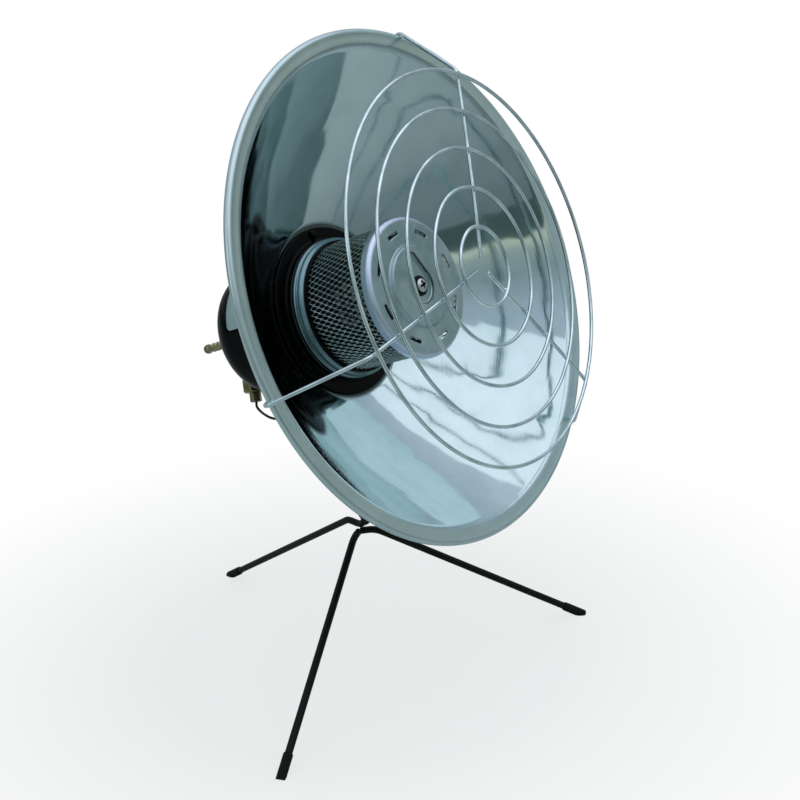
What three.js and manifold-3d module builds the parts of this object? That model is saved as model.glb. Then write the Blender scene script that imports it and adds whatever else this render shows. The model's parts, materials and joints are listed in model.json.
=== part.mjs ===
// Parabolic gas heater on a three-legged rod stand.
// Units are millimetres, +Z is up and the heater faces -Y.
//
// The stand is modelled upright around its own centre. The head is modelled in a frame of its own,
// whose origin is the centre of the dish's rim: there +Y runs backwards along the dish's axis, +Z is
// the dish's top, and "depth" always means a distance behind the rim plane.
import * as THREE from 'three';
import { mergeGeometries, mergeVertices } from 'three/addons/utils/BufferGeometryUtils.js';
import Module from 'manifold-3d';

const wasm = await Module();
wasm.setup();

// ---------------------------------------------------------------- driving dimensions

const seatGap = 0.3; // clearance that two seated pieces keep
const rad = Math.PI / 180;

// attitude of the head on its stand
const tilt = 20.7 * rad; // the dish looks up by this much
const hingeReach = 21; // hinge bolt in front of the stand's centre
const hingeHeight = 139; // hinge bolt above the floor
const hingeSide = -3.8; // middle of the post's eye, left of the stand's centre
const hingeDepth = 126; // hinge bolt behind the rim plane, in the head's frame
const hingeDrop = 167; // hinge bolt below the dish's axis, in the head's frame

// dish
const rimRadius = 200; // over the rolled bead
const beadRadius = 3;
const flangeWidth = 13; // from the bowl's edge to the outside of the bead
const bowlDepth = 112; // of the whole paraboloid, to its apex
const dishSheet = 1;
const floorRadius = 71; // flat floor that carries the burner and the rear housing
const dishBore = 19; // hole that the mixing tube passes through
const bowlRadius = rimRadius - flangeWidth;
const floorDepth = bowlDepth * (1 - (floorRadius / bowlRadius) ** 2);

// wire guard
const guardWire = 1.4; // wire radius
const ringCount = 5;
const ringPitch = 29.8;
const guardStandoff = 54.5; // outer ring in front of the rim plane
const guardCrown = 3.6; // how far the middle stands in front of the outer ring
const spokeStart = 7.5; // the spokes stop short of each other at the centre
const spokeOverrun = 5; // the spokes turn back this far outside the outer ring
const guardTurn = 20 * rad; // the guard is hooked on turned about the dish's axis
const guardLeanX = 1.1 * rad; // and sits a little skew
const guardLeanZ = 2.2 * rad;

// burner
const screwCircle = 63.5; // three screws hold burner, dish and housing together
const screwRadius = 2;
const clampFlange = 69; // radius of the flanges on both sides of the dish's floor
const flangeSheet = 1.4;
const meshRadius = 52; // outside of the burner's mesh
const meshSheet = 0.8;
const screenRadius = 43; // perforated inner screen
const screenSheet = 0.8;
const collarRadius = 57.5; // base collar where it leaves its flange
const burnerFloor = 82; // depth of the burner's closed back
const capRadius = 56;
const capDepth = 8; // depth of the cap's front edge
const capSheet = 1.2;
const capSkirt = 14; // length of the cap's skirt
const capRise = 3.4; // how far the inner disc stands in front of the outer ring
const capDiscRadius = 33;
const recessDepth = 2;
const recessRadius = 14;
const recessTail = 26;
const washerRadius = 8;
const tieRadius = 2.5;
const tieHeadRadius = 5.4;

// gas train
const tubeRadius = 14; // outside of the mixing tube
const tubeWall = 1.4;
const bellRadius = 17;
const bellStandoff = 17; // bell mouth in front of the drum's back
const bossReach = 8; // the valve's front boss reaches this far into the drum

// rear housing
const drumRadius = 55;
const drumWall = 1.5;
const drumDepth = 195; // depth of its back
const drumCorner = 24;
const drumSides = 32; // facets round the drum
const labelInset = 3; // label's rear edge in front of the drum's rounded corner
const labelLength = 44;
const labelSheet = 0.5;

// valve
const valveTurn = 17 * rad; // where the thread came tight
const valveHalf = 8; // half the width across the valve body's flats
const valveClearance = 1; // between the drum's back and the valve body's flat
const valveDepth = drumDepth + valveHalf + valveClearance; // depth of the valve's own axis
const bossRadius = 8;
const buttonRadius = 8.5;
const buttonTravel = 5;
const stemRadius = 2;
const leadRadius = 1.1;
const probeRadius = 1.8;
const probeAngle = 126 * rad;
const probeCircle = 60.5;

// rear bracket and hinge
const saddleSheet = 3;
const saddleSpan = 24 * rad; // to each side of the lowest line of the drum
const bracketDepth = 112; // front edge of the saddle
const bracketLength = 28;
const webSheet = 3;
const eyeRadius = 11;
const boltRadius = 4;
const boltFit = 0.25; // running clearance around the hinge bolt
const eyeSheet = 4;

// stand
const legRadius = 3;
const footCircle = 194.8; // distance of each foot from the stand's centre
const legTurn = 49.2 * rad; // first leg, counted from the facing direction
const frontLegHeight = 112;
const legLevel = 14; // each leg leaves the centre level for this far
const bootRadius = 3.9;
const bootLength = 14;

// ---------------------------------------------------------------- finishes

const finish = (color, roughness, metalness) =>
  new THREE.MeshStandardMaterial({ color, roughness, metalness });
const polished = finish(0x8fa5a6, 0.12, 1);
const chromed = finish(0xb9cbd2, 0.18, 1);
const pressed = finish(0x9aadad, 0.35, 1);
const blackEnamel = finish(0x0b0d0e, 0.3, 0);
const blackPaint = finish(0x0a0a0a, 0.5, 0);
const heatSteel = finish(0x2a3330, 0.5, 1);
const plainSteel = finish(0x8a9090, 0.4, 1);
const brass = finish(0x8f8a55, 0.35, 1);
const blackSleeve = finish(0x101010, 0.6, 0);
const plateSilver = finish(0xb4c4c6, 0.3, 1);
const rubber = finish(0x080808, 0.8, 0);

// ---------------------------------------------------------------- solids

// Merges a closed geometry's vertices, drops collapsed triangles and turns the faces outwards.
function closed(geometry) {
  const plain = geometry.index ? geometry.toNonIndexed() : geometry.clone();
  for (const name of Object.keys(plain.attributes)) {
    if (name !== 'position') plain.deleteAttribute(name);
  }
  const merged = mergeVertices(plain, 1e-4);
  const position = merged.attributes.position;
  const kept = [];
  let volume = 0;
  const a = new THREE.Vector3();
  const b = new THREE.Vector3();
  const c = new THREE.Vector3();
  for (let i = 0; i < merged.index.count; i += 3) {
    const [p, q, r] = [0, 1, 2].map((k) => merged.index.getX(i + k));
    if (p === q || q === r || r === p) continue;
    kept.push(p, q, r);
    a.fromBufferAttribute(position, p);
    b.fromBufferAttribute(position, q);
    c.fromBufferAttribute(position, r);
    volume += a.dot(b.cross(c));
  }
  if (volume < 0) kept.reverse();
  merged.setIndex(kept);
  return merged;
}

function toManifold(geometry) {
  const ready = closed(geometry);
  return new wasm.Manifold(new wasm.Mesh({
    numProp: 3,
    vertProperties: new Float32Array(ready.attributes.position.array),
    triVerts: new Uint32Array(ready.index.array),
  }));
}

function toGeometry(solid) {
  const mesh = solid.getMesh();
  const geometry = new THREE.BufferGeometry();
  geometry.setAttribute('position', new THREE.BufferAttribute(new Float32Array(mesh.vertProperties), 3));
  geometry.setIndex(Array.from(mesh.triVerts));
  return geometry;
}

function cut(geometry, tools) {
  return toGeometry(tools.reduce((solid, tool) => solid.subtract(toManifold(tool)), toManifold(geometry)));
}

function join(geometries) {
  return toGeometry(geometries.map(toManifold).reduce((sum, next) => sum.add(next)));
}

// A solid of revolution about Y. The profile is a list of [radius, y] that closes on itself or on the axis.
function revolve(profile, segments = 32) {
  const points = profile.map(([radius, y]) => new THREE.Vector2(Math.max(radius, 0), y));
  const first = points[0];
  const last = points[points.length - 1];
  const onAxis = first.x === 0 && last.x === 0;
  if (!onAxis && !first.equals(last)) points.push(first.clone());
  return new THREE.LatheGeometry(points, segments);
}

// Points of an arc in a profile, from one angle to the other, the angle counted from the radius axis.
function arc(centreRadius, centreY, radius, from, to, steps) {
  return Array.from({ length: steps + 1 }, (_, i) => {
    const angle = from + ((to - from) * i) / steps;
    return [centreRadius + radius * Math.cos(angle), centreY + radius * Math.sin(angle)];
  });
}

// A round rod about Y from one depth to the other.
function rod(radius, from, to, segments = 16) {
  return revolve([[0, from], [radius, from], [radius, to], [0, to]], segments);
}

// A hollow round about Y.
function sleeve(outer, inner, from, to, segments = 32) {
  return revolve([[inner, from], [outer, from], [outer, to], [inner, to]], segments);
}

function roundHole(x, y, radius) {
  const hole = new THREE.Path();
  hole.absarc(x, y, radius, 0, 2 * Math.PI, true);
  return hole;
}

// A hexagon about Y with a bore, from one depth to the other.
function hexNut(acrossFlats, bore, from, to) {
  const corner = acrossFlats / Math.sqrt(3);
  const shape = new THREE.Shape(Array.from({ length: 6 }, (_, i) =>
    new THREE.Vector2(corner * Math.cos((i * Math.PI) / 3), corner * Math.sin((i * Math.PI) / 3))));
  if (bore > 0) shape.holes.push(roundHole(0, 0, bore));
  const geometry = new THREE.ExtrudeGeometry(shape, { depth: to - from, bevelEnabled: false, curveSegments: 6 });
  return geometry.rotateX(-Math.PI / 2).translate(0, from, 0);
}

// A path that has a station wherever its wire turns, so straight stretches cost nothing.
class Route extends THREE.Curve {
  constructor(stations) {
    super();
    this.stations = stations;
  }

  getPoint(t, target = new THREE.Vector3()) {
    const place = THREE.MathUtils.clamp(t, 0, 1) * (this.stations.length - 1);
    const index = Math.min(Math.floor(place), this.stations.length - 2);
    return target.lerpVectors(this.stations[index], this.stations[index + 1], place - index);
  }

  getPointAt(u, target) {
    return this.getPoint(u, target);
  }

  getTangentAt(u, target = new THREE.Vector3()) {
    const last = this.stations.length - 1;
    const index = Math.round(THREE.MathUtils.clamp(u, 0, 1) * last);
    const here = this.stations[index];
    const before = this.stations[Math.max(index - 1, 0)];
    const after = this.stations[Math.min(index + 1, last)];
    const back = here.clone().sub(before).normalize();
    const forward = after.clone().sub(here).normalize();
    return target.copy(back.add(forward)).normalize();
  }
}

// Stations of a wire through corner points, each corner rounded to the bend radius.
function bend(corners, bendRadius, stepAngle = 15 * rad) {
  const stations = [corners[0]];
  for (let i = 1; i < corners.length - 1; i += 1) {
    const back = corners[i - 1].clone().sub(corners[i]).normalize();
    const forward = corners[i + 1].clone().sub(corners[i]).normalize();
    const turn = Math.PI - back.angleTo(forward);
    const reach = bendRadius * Math.tan(turn / 2);
    const start = corners[i].clone().addScaledVector(back, reach);
    const end = corners[i].clone().addScaledVector(forward, reach);
    const inward = back.clone().add(forward).normalize();
    const centre = corners[i].clone().addScaledVector(inward, bendRadius / Math.cos(turn / 2));
    const steps = Math.max(2, Math.round(turn / stepAngle));
    const from = start.clone().sub(centre);
    const to = end.clone().sub(centre);
    for (let k = 0; k <= steps; k += 1) {
      const share = k / steps;
      const a = Math.sin((1 - share) * turn) / Math.sin(turn);
      const b = Math.sin(share * turn) / Math.sin(turn);
      stations.push(centre.clone().addScaledVector(from, a).addScaledVector(to, b));
    }
  }
  stations.push(corners[corners.length - 1]);
  return stations;
}

function wire(stations, radius, sides = 6) {
  const section = new THREE.Shape(Array.from({ length: sides }, (_, i) => new THREE.Vector2(
    radius * Math.cos((2 * Math.PI * i) / sides), radius * Math.sin((2 * Math.PI * i) / sides))));
  return new THREE.ExtrudeGeometry(section, {
    steps: stations.length - 1,
    bevelEnabled: false,
    extrudePath: new Route(stations),
  });
}

// A point of the head's frame: its distance from the dish's axis, its angle from the top towards +X, its depth.
const polar = (radius, angle, depth) =>
  new THREE.Vector3(radius * Math.sin(angle), depth, radius * Math.cos(angle));

// Places a geometry that stands on the axis at a radius and an angle of the head's frame.
const atPolar = (geometry, radius, angle) =>
  geometry.translate(radius * Math.sin(angle), 0, radius * Math.cos(angle));

function piece(name, geometry, material) {
  const clean = closed(geometry);
  clean.computeVertexNormals();
  const mesh = new THREE.Mesh(clean, material);
  mesh.name = name;
  return mesh;
}

// ---------------------------------------------------------------- dish

const bowlDepthAt = (radius) => bowlDepth * (1 - (radius / bowlRadius) ** 2);
const screwAngles = [0, 120, 240].map((degrees) => degrees * rad);
const leadHoleRadius = 79;

// Spun sheet: flat floor, paraboloid wall, flat flange and a bead rolled over backwards.
function reflector() {
  const wallSteps = 6;
  const front = [[dishBore, floorDepth]];
  const back = [[dishBore, floorDepth + dishSheet]];
  for (let i = 0; i <= wallSteps; i += 1) {
    const radius = floorRadius + ((bowlRadius - floorRadius) * i) / wallSteps;
    const slope = (-2 * bowlDepth * radius) / bowlRadius ** 2;
    const length = Math.hypot(1, slope);
    front.push([radius, bowlDepthAt(radius)]);
    back.push([radius - (dishSheet * slope) / length, bowlDepthAt(radius) + dishSheet / length]);
  }
  const beadCentre = rimRadius - beadRadius;
  const bead = arc(beadCentre, beadRadius / 2, beadRadius, -130 * rad, 120 * rad, 4);
  const flangeBack = [[rimRadius - 2 * beadRadius, dishSheet], [bowlRadius + dishSheet, dishSheet]];
  back.pop();
  const sheet = revolve([...front, ...bead, ...flangeBack, ...back.reverse()], 48);
  const screwHoles = screwAngles.map((angle) =>
    atPolar(rod(screwRadius + seatGap, 0, drumDepth, 8), screwCircle, angle));
  const leadHole = atPolar(rod(leadRadius + 0.9, 0, drumDepth, 8), leadHoleRadius, probeAngle);
  return cut(sheet, [...screwHoles, leadHole]);
}

// ---------------------------------------------------------------- guard

const guardFrame = new THREE.Group();
guardFrame.position.set(0, -guardStandoff, 0);
guardFrame.rotation.set(guardLeanX, 0, guardLeanZ);
guardFrame.updateMatrix();

const outerRing = ringCount * ringPitch;
const crownAt = (radius) => -guardCrown * (1 - (radius / outerRing) ** 2);

function guardRing(index) {
  const radius = index * ringPitch;
  const ring = new THREE.TorusGeometry(radius, guardWire, 6, 14 + 5 * index);
  return ring.rotateX(Math.PI / 2).translate(0, crownAt(radius), 0);
}

// One spoke: it runs out behind the rings, turns back to the rim and hooks round the bead.
function guardSpoke(angle) {
  const behindRings = 2 * guardWire + seatGap;
  const onGuard = (radius) =>
    polar(radius, angle, crownAt(radius) + behindRings).applyMatrix4(guardFrame.matrix);
  const shoulder = onGuard(outerRing + spokeOverrun);
  const shoulderRadius = Math.hypot(shoulder.x, shoulder.z);
  const beadCentre = [rimRadius - beadRadius, beadRadius / 2];
  const hookRadius = beadRadius + guardWire + seatGap;
  // tangent from the shoulder to the outside of the hook's circle
  const toCentre = [beadCentre[0] - shoulderRadius, beadCentre[1] - shoulder.y];
  const distance = Math.hypot(...toCentre);
  const touch = Math.atan2(toCentre[1], toCentre[0]) + Math.acos(hookRadius / distance) + Math.PI;
  const hookEnd = 100 * rad;
  const hookStart = touch - 2 * Math.PI;
  const hook = arc(...beadCentre, hookRadius, hookStart, hookEnd, 6)
    .map(([radius, depth]) => polar(radius, angle, depth));
  const run = [onGuard(spokeStart), onGuard(outerRing * 0.4), onGuard(outerRing * 0.75), shoulder, hook[0]];
  return wire([...bend(run, 6, 20 * rad).slice(0, -1), ...hook], guardWire);
}

// ---------------------------------------------------------------- burner

// Black collar: flange on the dish's floor, ribbed side, closed back with the tube's hole, and a lip
// that the mesh stands in.
function burnerBase() {
  const back = floorDepth - seatGap;
  const front = back - flangeSheet;
  const lipInner = meshRadius + seatGap;
  const lipOuter = lipInner + flangeSheet;
  const lipFront = burnerFloor - 6;
  const inside = collarRadius - flangeSheet;
  const profile = [
    [tubeRadius + seatGap, burnerFloor],
    [lipInner, burnerFloor],
    [lipInner, lipFront],
    [lipOuter, lipFront],
    [lipOuter, burnerFloor - 3.2],
    [lipOuter + 3, burnerFloor - 1],
    [lipOuter + 3, burnerFloor + 1],
    [lipOuter + 1, burnerFloor + 3],
    [collarRadius + 1, burnerFloor + 5.6],
    [collarRadius - 0.4, burnerFloor + 8],
    [collarRadius, front],
    [clampFlange, front],
    [clampFlange, back],
    [inside, back],
    [inside - 1, burnerFloor + 6],
    [lipInner, burnerFloor + flangeSheet],
    [tubeRadius + seatGap, burnerFloor + flangeSheet],
  ];
  const holes = screwAngles.map((angle) =>
    atPolar(rod(screwRadius + seatGap, 0, drumDepth, 8), screwCircle, angle));
  return cut(revolve(profile, 32), holes);
}

const capUnder = capDepth + capSheet + seatGap; // where the burner's two cylinders end in the cap

// Perforated cylinder standing between the base and the cap: staggered rows of slots.
function perforatedCylinder(radius, sheet, spec) {
  const shell = sleeve(radius, radius - sheet, capUnder + spec.drop, burnerFloor - seatGap, spec.segments);
  const slots = [];
  for (let row = 0; row < spec.rows; row += 1) {
    const y = spec.first + spec.pitch * row;
    for (let k = 0; k < spec.around; k += 1) {
      const facet = (2 * Math.PI) / spec.segments;
      const angle = ((k + (row % 2) / 2) / spec.around) * 2 * Math.PI + facet / 2;
      const slot = new THREE.BoxGeometry(spec.width, spec.length, 6);
      slots.push(slot.translate(0, y, radius - sheet / 2).rotateY(angle));
    }
  }
  return toGeometry(toManifold(shell).subtract(toManifold(mergeGeometries(slots))));
}

const meshSpec = { rows: 4, around: 16, pitch: 12.4, first: 31, width: 7.4, length: 8.4, segments: 32, drop: 0.6 };
const screenSpec = { rows: 2, around: 8, pitch: 24, first: 36, width: 11, length: 13, segments: 16, drop: 0 };

// Teardrop outline around the cap's screw, its tail towards the top.
function teardrop(grow) {
  const round = recessRadius + grow;
  const tail = recessTail + grow;
  const tailRadius = 4 + grow;
  const tailCentre = tail - tailRadius;
  const lean = Math.asin((round - tailRadius) / tailCentre);
  const shape = new THREE.Shape();
  shape.absarc(0, 0, round, Math.PI - lean, lean, false);
  shape.absarc(0, tailCentre, tailRadius, lean, Math.PI - lean, false);
  shape.closePath();
  return shape;
}

// A shape drawn with +Y up is turned so that it faces the dish's front, and reaches back from a depth.
const recessBlock = (shape, from, depth) =>
  new THREE.ExtrudeGeometry(shape, { depth, bevelEnabled: false, curveSegments: 5 })
    .rotateX(-Math.PI / 2).rotateY(Math.PI).translate(0, from, 0);

// Pressed cap: rolled edge with a skirt, eight vents, a raised inner disc and a sunk seat for the screw.
function burnerCap() {
  const discFront = capDepth - capRise;
  const edge = 4.5;
  const skirtEnd = capDepth + capSkirt;
  const outside = [
    [0, discFront],
    [capDiscRadius - 2, discFront],
    [capDiscRadius, discFront + 1.6],
    [capRadius - edge, capDepth],
    ...arc(capRadius - edge, capDepth + edge, edge, -50 * rad, 0, 2),
    [capRadius, skirtEnd],
    [capRadius - capSheet, skirtEnd],
    [capRadius - capSheet, capDepth + edge],
    [capRadius - edge, capDepth + capSheet],
    [capDiscRadius - 0.8, discFront + 1.6 + capSheet],
    [capDiscRadius - 2.8, discFront + capSheet],
    [0, discFront + capSheet],
  ];
  const vents = Array.from({ length: 8 }, (_, k) => {
    const vent = new THREE.BoxGeometry(11, 12, 2.4);
    return vent.translate(0, capDepth, 42).rotateY(30 * rad + (k * Math.PI) / 4);
  });
  const pan = recessBlock(teardrop(capSheet), discFront, recessDepth + capSheet);
  const hollow = recessBlock(teardrop(0), discFront - 1, recessDepth + 1);
  const bolt = rod(tieRadius + seatGap, 0, 20, 12);
  const shell = toManifold(revolve(outside, 32)).add(toManifold(pan));
  return cut(toGeometry(shell), [...vents, hollow, bolt]);
}

const recessFloor = capDepth - capRise + recessDepth;

const capWasher = () => sleeve(washerRadius, tieRadius + seatGap, recessFloor - seatGap - 1, recessFloor - seatGap, 16);

// Long screw through the whole burner: domed head with a crossed recess.
function tieScrew() {
  const seat = recessFloor - 2 * seatGap - 1;
  const height = 3.2;
  const tip = burnerFloor + 10;
  const profile = [
    [0, seat - height],
    [tieHeadRadius * 0.5, seat - height + 0.3],
    [tieHeadRadius * 0.9, seat - height + 1.4],
    [tieHeadRadius, seat],
    [tieRadius, seat],
    [tieRadius, tip],
    [0, tip],
  ];
  const slot = () => new THREE.BoxGeometry(1.4, 4.4, 6.4).translate(0, seat - height, 0);
  return cut(revolve(profile, 14), [slot(), slot().rotateY(Math.PI / 2)]);
}

// Drilled plug in the mouth of the mixing tube: the screw passes its middle, the gas its six holes.
function diffuser() {
  const front = burnerFloor - 1;
  const plug = rod(tubeRadius - tubeWall - seatGap, front, front + 5, 20);
  const ports = Array.from({ length: 6 }, (_, k) =>
    rod(2.4, front - 1, front + 6, 6).translate(7.6, 0, 0).rotateY((k * Math.PI) / 3));
  return cut(plug, [rod(tieRadius + seatGap, front - 1, front + 6, 12), ...ports]);
}

const tieNut = () => hexNut(8, tieRadius + seatGap, burnerFloor + 4 + seatGap, burnerFloor + 8 + seatGap);

// Mixing tube: collar on the burner's floor, straight tube, bell mouth over the injector.
function mixingTube() {
  const inner = tubeRadius - tubeWall;
  const front = burnerFloor - seatGap - flangeSheet;
  const mouth = drumDepth - bellStandoff;
  return revolve([
    [inner, front],
    [tubeRadius + 5, front],
    [tubeRadius + 5, burnerFloor - seatGap],
    [tubeRadius, burnerFloor - seatGap],
    [tubeRadius, mouth - 14],
    [bellRadius, mouth],
    [bellRadius - tubeWall, mouth],
    [inner, mouth - 13],
  ], 20);
}

// ---------------------------------------------------------------- fasteners through the dish's floor

const dishBack = floorDepth + dishSheet;
const nutSeat = dishBack + 2 * seatGap + drumWall;
const baseFlangeFront = floorDepth - seatGap - flangeSheet;

// Pan-head screw; under one of them sits the probe's clip.
function floorScrew(underHead) {
  const seat = baseFlangeFront - seatGap - underHead;
  return revolve([
    [0, seat - 2.6],
    [screwRadius, seat - 2.4],
    [3.6, seat - 1.2],
    [3.8, seat],
    [screwRadius, seat],
    [screwRadius, nutSeat + 5],
    [0, nutSeat + 5],
  ], 10);
}

const floorNut = () => hexNut(7, screwRadius + seatGap, nutSeat, nutSeat + 3.2);

// ---------------------------------------------------------------- rear housing

// Drum with a rounded back edge, a clamping flange, an opening for the valve's boss and air slots.
function rearHousing() {
  const front = dishBack + seatGap;
  const cornerRadius = drumRadius - drumCorner;
  const cornerDepth = drumDepth - drumCorner;
  const bore = bossRadius + seatGap;
  const profile = [
    [drumRadius - drumWall, front],
    [clampFlange, front],
    [clampFlange, front + drumWall],
    [drumRadius, front + drumWall],
    ...arc(cornerRadius, cornerDepth, drumCorner, 0, Math.PI / 2, 4),
    [bore, drumDepth],
    [bore, drumDepth - drumWall],
    ...arc(cornerRadius, cornerDepth, drumCorner - drumWall, Math.PI / 2, 0, 3),
  ];
  const screwHoles = screwAngles.map((angle) =>
    atPolar(rod(screwRadius + seatGap, 0, drumDepth - 50, 8), screwCircle, angle));
  const airSlots = Array.from({ length: 8 }, (_, k) => {
    const slot = new THREE.BoxGeometry(4, 30, 11);
    return slot.translate(0, drumDepth, 25).rotateY((k * Math.PI) / 4);
  });
  const rivetHoles = [-1, 1].map((side) => rivetAt(rod(rivetRadius + seatGap, 40, 70, 8), side));
  return cut(revolve(profile, drumSides), [...screwHoles, ...airSlots, ...rivetHoles]);
}

// A sheet sector wrapped round the drum, from one angle to the other.
function drumWrap(inner, sheet, from, to, depth, length) {
  const steps = Math.max(4, Math.round((to - from) / (8 * rad)));
  const edge = (radius, share) => {
    const angle = from + (to - from) * share;
    return new THREE.Vector2(radius * Math.sin(angle), -radius * Math.cos(angle));
  };
  const outline = [];
  for (let i = 0; i <= steps; i += 1) outline.push(edge(inner, i / steps));
  for (let i = steps; i >= 0; i -= 1) outline.push(edge(inner + sheet, i / steps));
  const shape = new THREE.Shape(outline);
  const geometry = new THREE.ExtrudeGeometry(shape, { depth: length, bevelEnabled: false });
  return geometry.rotateX(-Math.PI / 2).translate(0, depth, 0);
}

const labelFront = drumDepth - drumCorner - labelInset - labelLength;
const labelPlate = () =>
  drumWrap(drumRadius + seatGap, labelSheet, -77 * rad, -27 * rad, labelFront, labelLength);

// ---------------------------------------------------------------- bracket and hinge

const rivetRadius = 2;
const rivetAngle = 15 * rad;
const rivetDepth = bracketDepth + bracketLength / 2;

// A rivet is modelled about +Y and swung to point down and outwards from the dish's axis.
function rivetAt(geometry, side) {
  return geometry.rotateX(-Math.PI / 2).rotateY(-side * rivetAngle).translate(0, rivetDepth, 0);
}

function bracketRivet(side) {
  const inside = (drumRadius - drumWall) * Math.cos(Math.PI / drumSides) - seatGap;
  const outside = drumRadius + seatGap + saddleSheet + seatGap;
  const profile = [
    [0, inside - 1.2],
    [3, inside - 1.2],
    [3.2, inside],
    [rivetRadius, inside],
    [rivetRadius, outside],
    [3.4, outside],
    [2.6, outside + 1.6],
    [0, outside + 2],
  ];
  return rivetAt(revolve(profile, 8), side);
}

// Saddle riveted under the drum, with a web that narrows down to the hinge's eye.
function headBracket() {
  const saddleInner = drumRadius + seatGap;
  const saddle = drumWrap(saddleInner, saddleSheet, Math.PI - saddleSpan, Math.PI + saddleSpan,
    bracketDepth, bracketLength);
  const top = -(saddleInner + 1);
  const drop = -hingeDrop;
  const outline = new THREE.Shape();
  outline.moveTo(bracketDepth, top);
  outline.lineTo(hingeDepth - eyeRadius, drop + 18);
  outline.absarc(hingeDepth, drop, eyeRadius, Math.PI, 2 * Math.PI, false);
  outline.lineTo(bracketDepth + bracketLength, top);
  outline.holes.push(roundHole(hingeDepth, drop, boltRadius + boltFit));
  const web = new THREE.ExtrudeGeometry(outline, { depth: webSheet, bevelEnabled: false, curveSegments: 7 })
    .translate(0, 0, -webSheet / 2)
    .rotateY(Math.PI / 2).rotateX(Math.PI / 2);
  const holes = [-1, 1].map((side) => rivetAt(rod(rivetRadius + seatGap, 40, 70, 8), side));
  return cut(join([saddle, web]), holes);
}

// Hinge hardware lies along X, from the post's eye at the left to the wing nut at the right.
const eyeLeft = hingeSide - eyeSheet / 2;
const webRight = webSheet / 2;
const washerSheet = 1.4;
const washerLeft = webRight + seatGap;
const nutLeft = washerLeft + washerSheet + seatGap;
const nutHeight = 7;
const nutBore = boltRadius + boltFit;

const alongX = (geometry) => geometry.rotateZ(-Math.PI / 2);

function tiltBolt() {
  const seat = eyeLeft - seatGap;
  return alongX(revolve([
    [0, seat - 4.6],
    [4, seat - 4.2],
    [7, seat - 2.2],
    [7.6, seat],
    [boltRadius, seat],
    [boltRadius, nutLeft + nutHeight + 5],
    [0, nutLeft + nutHeight + 5],
  ], 16));
}

const hingeWasher = () => alongX(sleeve(9, nutBore, washerLeft, washerLeft + washerSheet, 16));

// Wing nut: tapered hub with two rounded ears.
function wingNut() {
  const hub = alongX(revolve([
    [nutBore, nutLeft],
    [7.5, nutLeft],
    [6.4, nutLeft + nutHeight],
    [nutBore, nutLeft + nutHeight],
  ], 16));
  const ear = new THREE.Shape();
  ear.moveTo(5.4, 1);
  ear.lineTo(10, 2);
  ear.quadraticCurveTo(17, 4, 17.5, 11);
  ear.quadraticCurveTo(17, 15, 13, 14.5);
  ear.quadraticCurveTo(9, 12, 5.4, nutHeight - 0.5);
  ear.closePath();
  const wing = (side) => new THREE.ExtrudeGeometry(ear, { depth: 2.6, bevelEnabled: false, curveSegments: 3 })
    .translate(0, 0, -1.3)
    .rotateZ(-Math.PI / 2).rotateX(side * Math.PI / 2).translate(nutLeft, 0, 0);
  return join([hub, wing(1), wing(-1)]);
}

// ---------------------------------------------------------------- gas valve

// The valve's frame: its origin is the middle of the valve body, +Z runs to the button.
const valveFront = -valveHalf;
const alongZ = (geometry) => geometry.rotateX(Math.PI / 2);
const bodyTop = 14;
const bodyBottom = -35.6;
const hexTop = 27;
const neckTop = 34;
const neckRadius = 3.6;
const bonnetStart = bodyTop + seatGap;
const skirtStart = hexTop + buttonTravel + 1;
const buttonTop = 45;
const buttonRoof = 2.5;

// Brass body: hexagon, round foot, a boss forwards through the housing's back and one to the rear.
function valveBody() {
  const hexagon = alongZ(hexNut(2 * valveHalf, 0, -22, bodyTop));
  const foot = alongZ(rod(6.6, bodyBottom, -21, 16));
  const shoulderBack = valveFront + 0.5;
  const shoulderFront = drumDepth + seatGap - valveDepth;
  const forward = revolve([
    [0, 0],
    [bossRadius + 3, shoulderBack],
    [bossRadius + 3, shoulderFront],
    [bossRadius, shoulderFront],
    [bossRadius, drumDepth - valveDepth - bossReach],
    [0, drumDepth - valveDepth - bossReach],
  ].reverse(), 16);
  const rearward = rod(6.6, 0, 13.4, 16);
  const stemBore = alongZ(rod(stemRadius + seatGap, -4, bodyTop + 1, 10));
  return cut(join([hexagon, foot, forward, rearward]), [stemBore]);
}

// Hexagon with a long neck that guides the button's stem.
function valveBonnet() {
  const hexagon = alongZ(hexNut(14, 0, bonnetStart, hexTop));
  const neck = alongZ(rod(neckRadius, hexTop - 1, neckTop, 16));
  return cut(join([hexagon, neck]), [alongZ(rod(stemRadius + seatGap, 0, 60, 10))]);
}

// Skirted button with the stem that pushes the valve open.
function pushButton() {
  return alongZ(revolve([
    [0, -2 + buttonTravel],
    [stemRadius, -2 + buttonTravel],
    [stemRadius, buttonTop - buttonRoof],
    [buttonRadius - 1.2, buttonTop - buttonRoof],
    [buttonRadius - 1.2, skirtStart],
    [buttonRadius, skirtStart],
    [buttonRadius, buttonTop - 1.5],
    [buttonRadius - 1.5, buttonTop],
    [0, buttonTop],
  ], 20));
}

// Return spring between the bonnet and the button: one unbroken helix with closed-in ends.
const spring = { coilRadius: 5.8, wireRadius: 0.45, turns: 7, stepsPerTurn: 8 };
const springBottom = hexTop + seatGap + spring.wireRadius;
const springTop = buttonTop - buttonRoof - seatGap - spring.wireRadius;

function springStations() {
  const count = spring.turns * spring.stepsPerTurn;
  return Array.from({ length: count + 1 }, (_, i) => {
    const angle = (2 * Math.PI * i) / spring.stepsPerTurn;
    const height = springBottom + ((springTop - springBottom) * i) / count;
    return new THREE.Vector3(spring.coilRadius * Math.cos(angle), spring.coilRadius * Math.sin(angle), height);
  });
}

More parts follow.
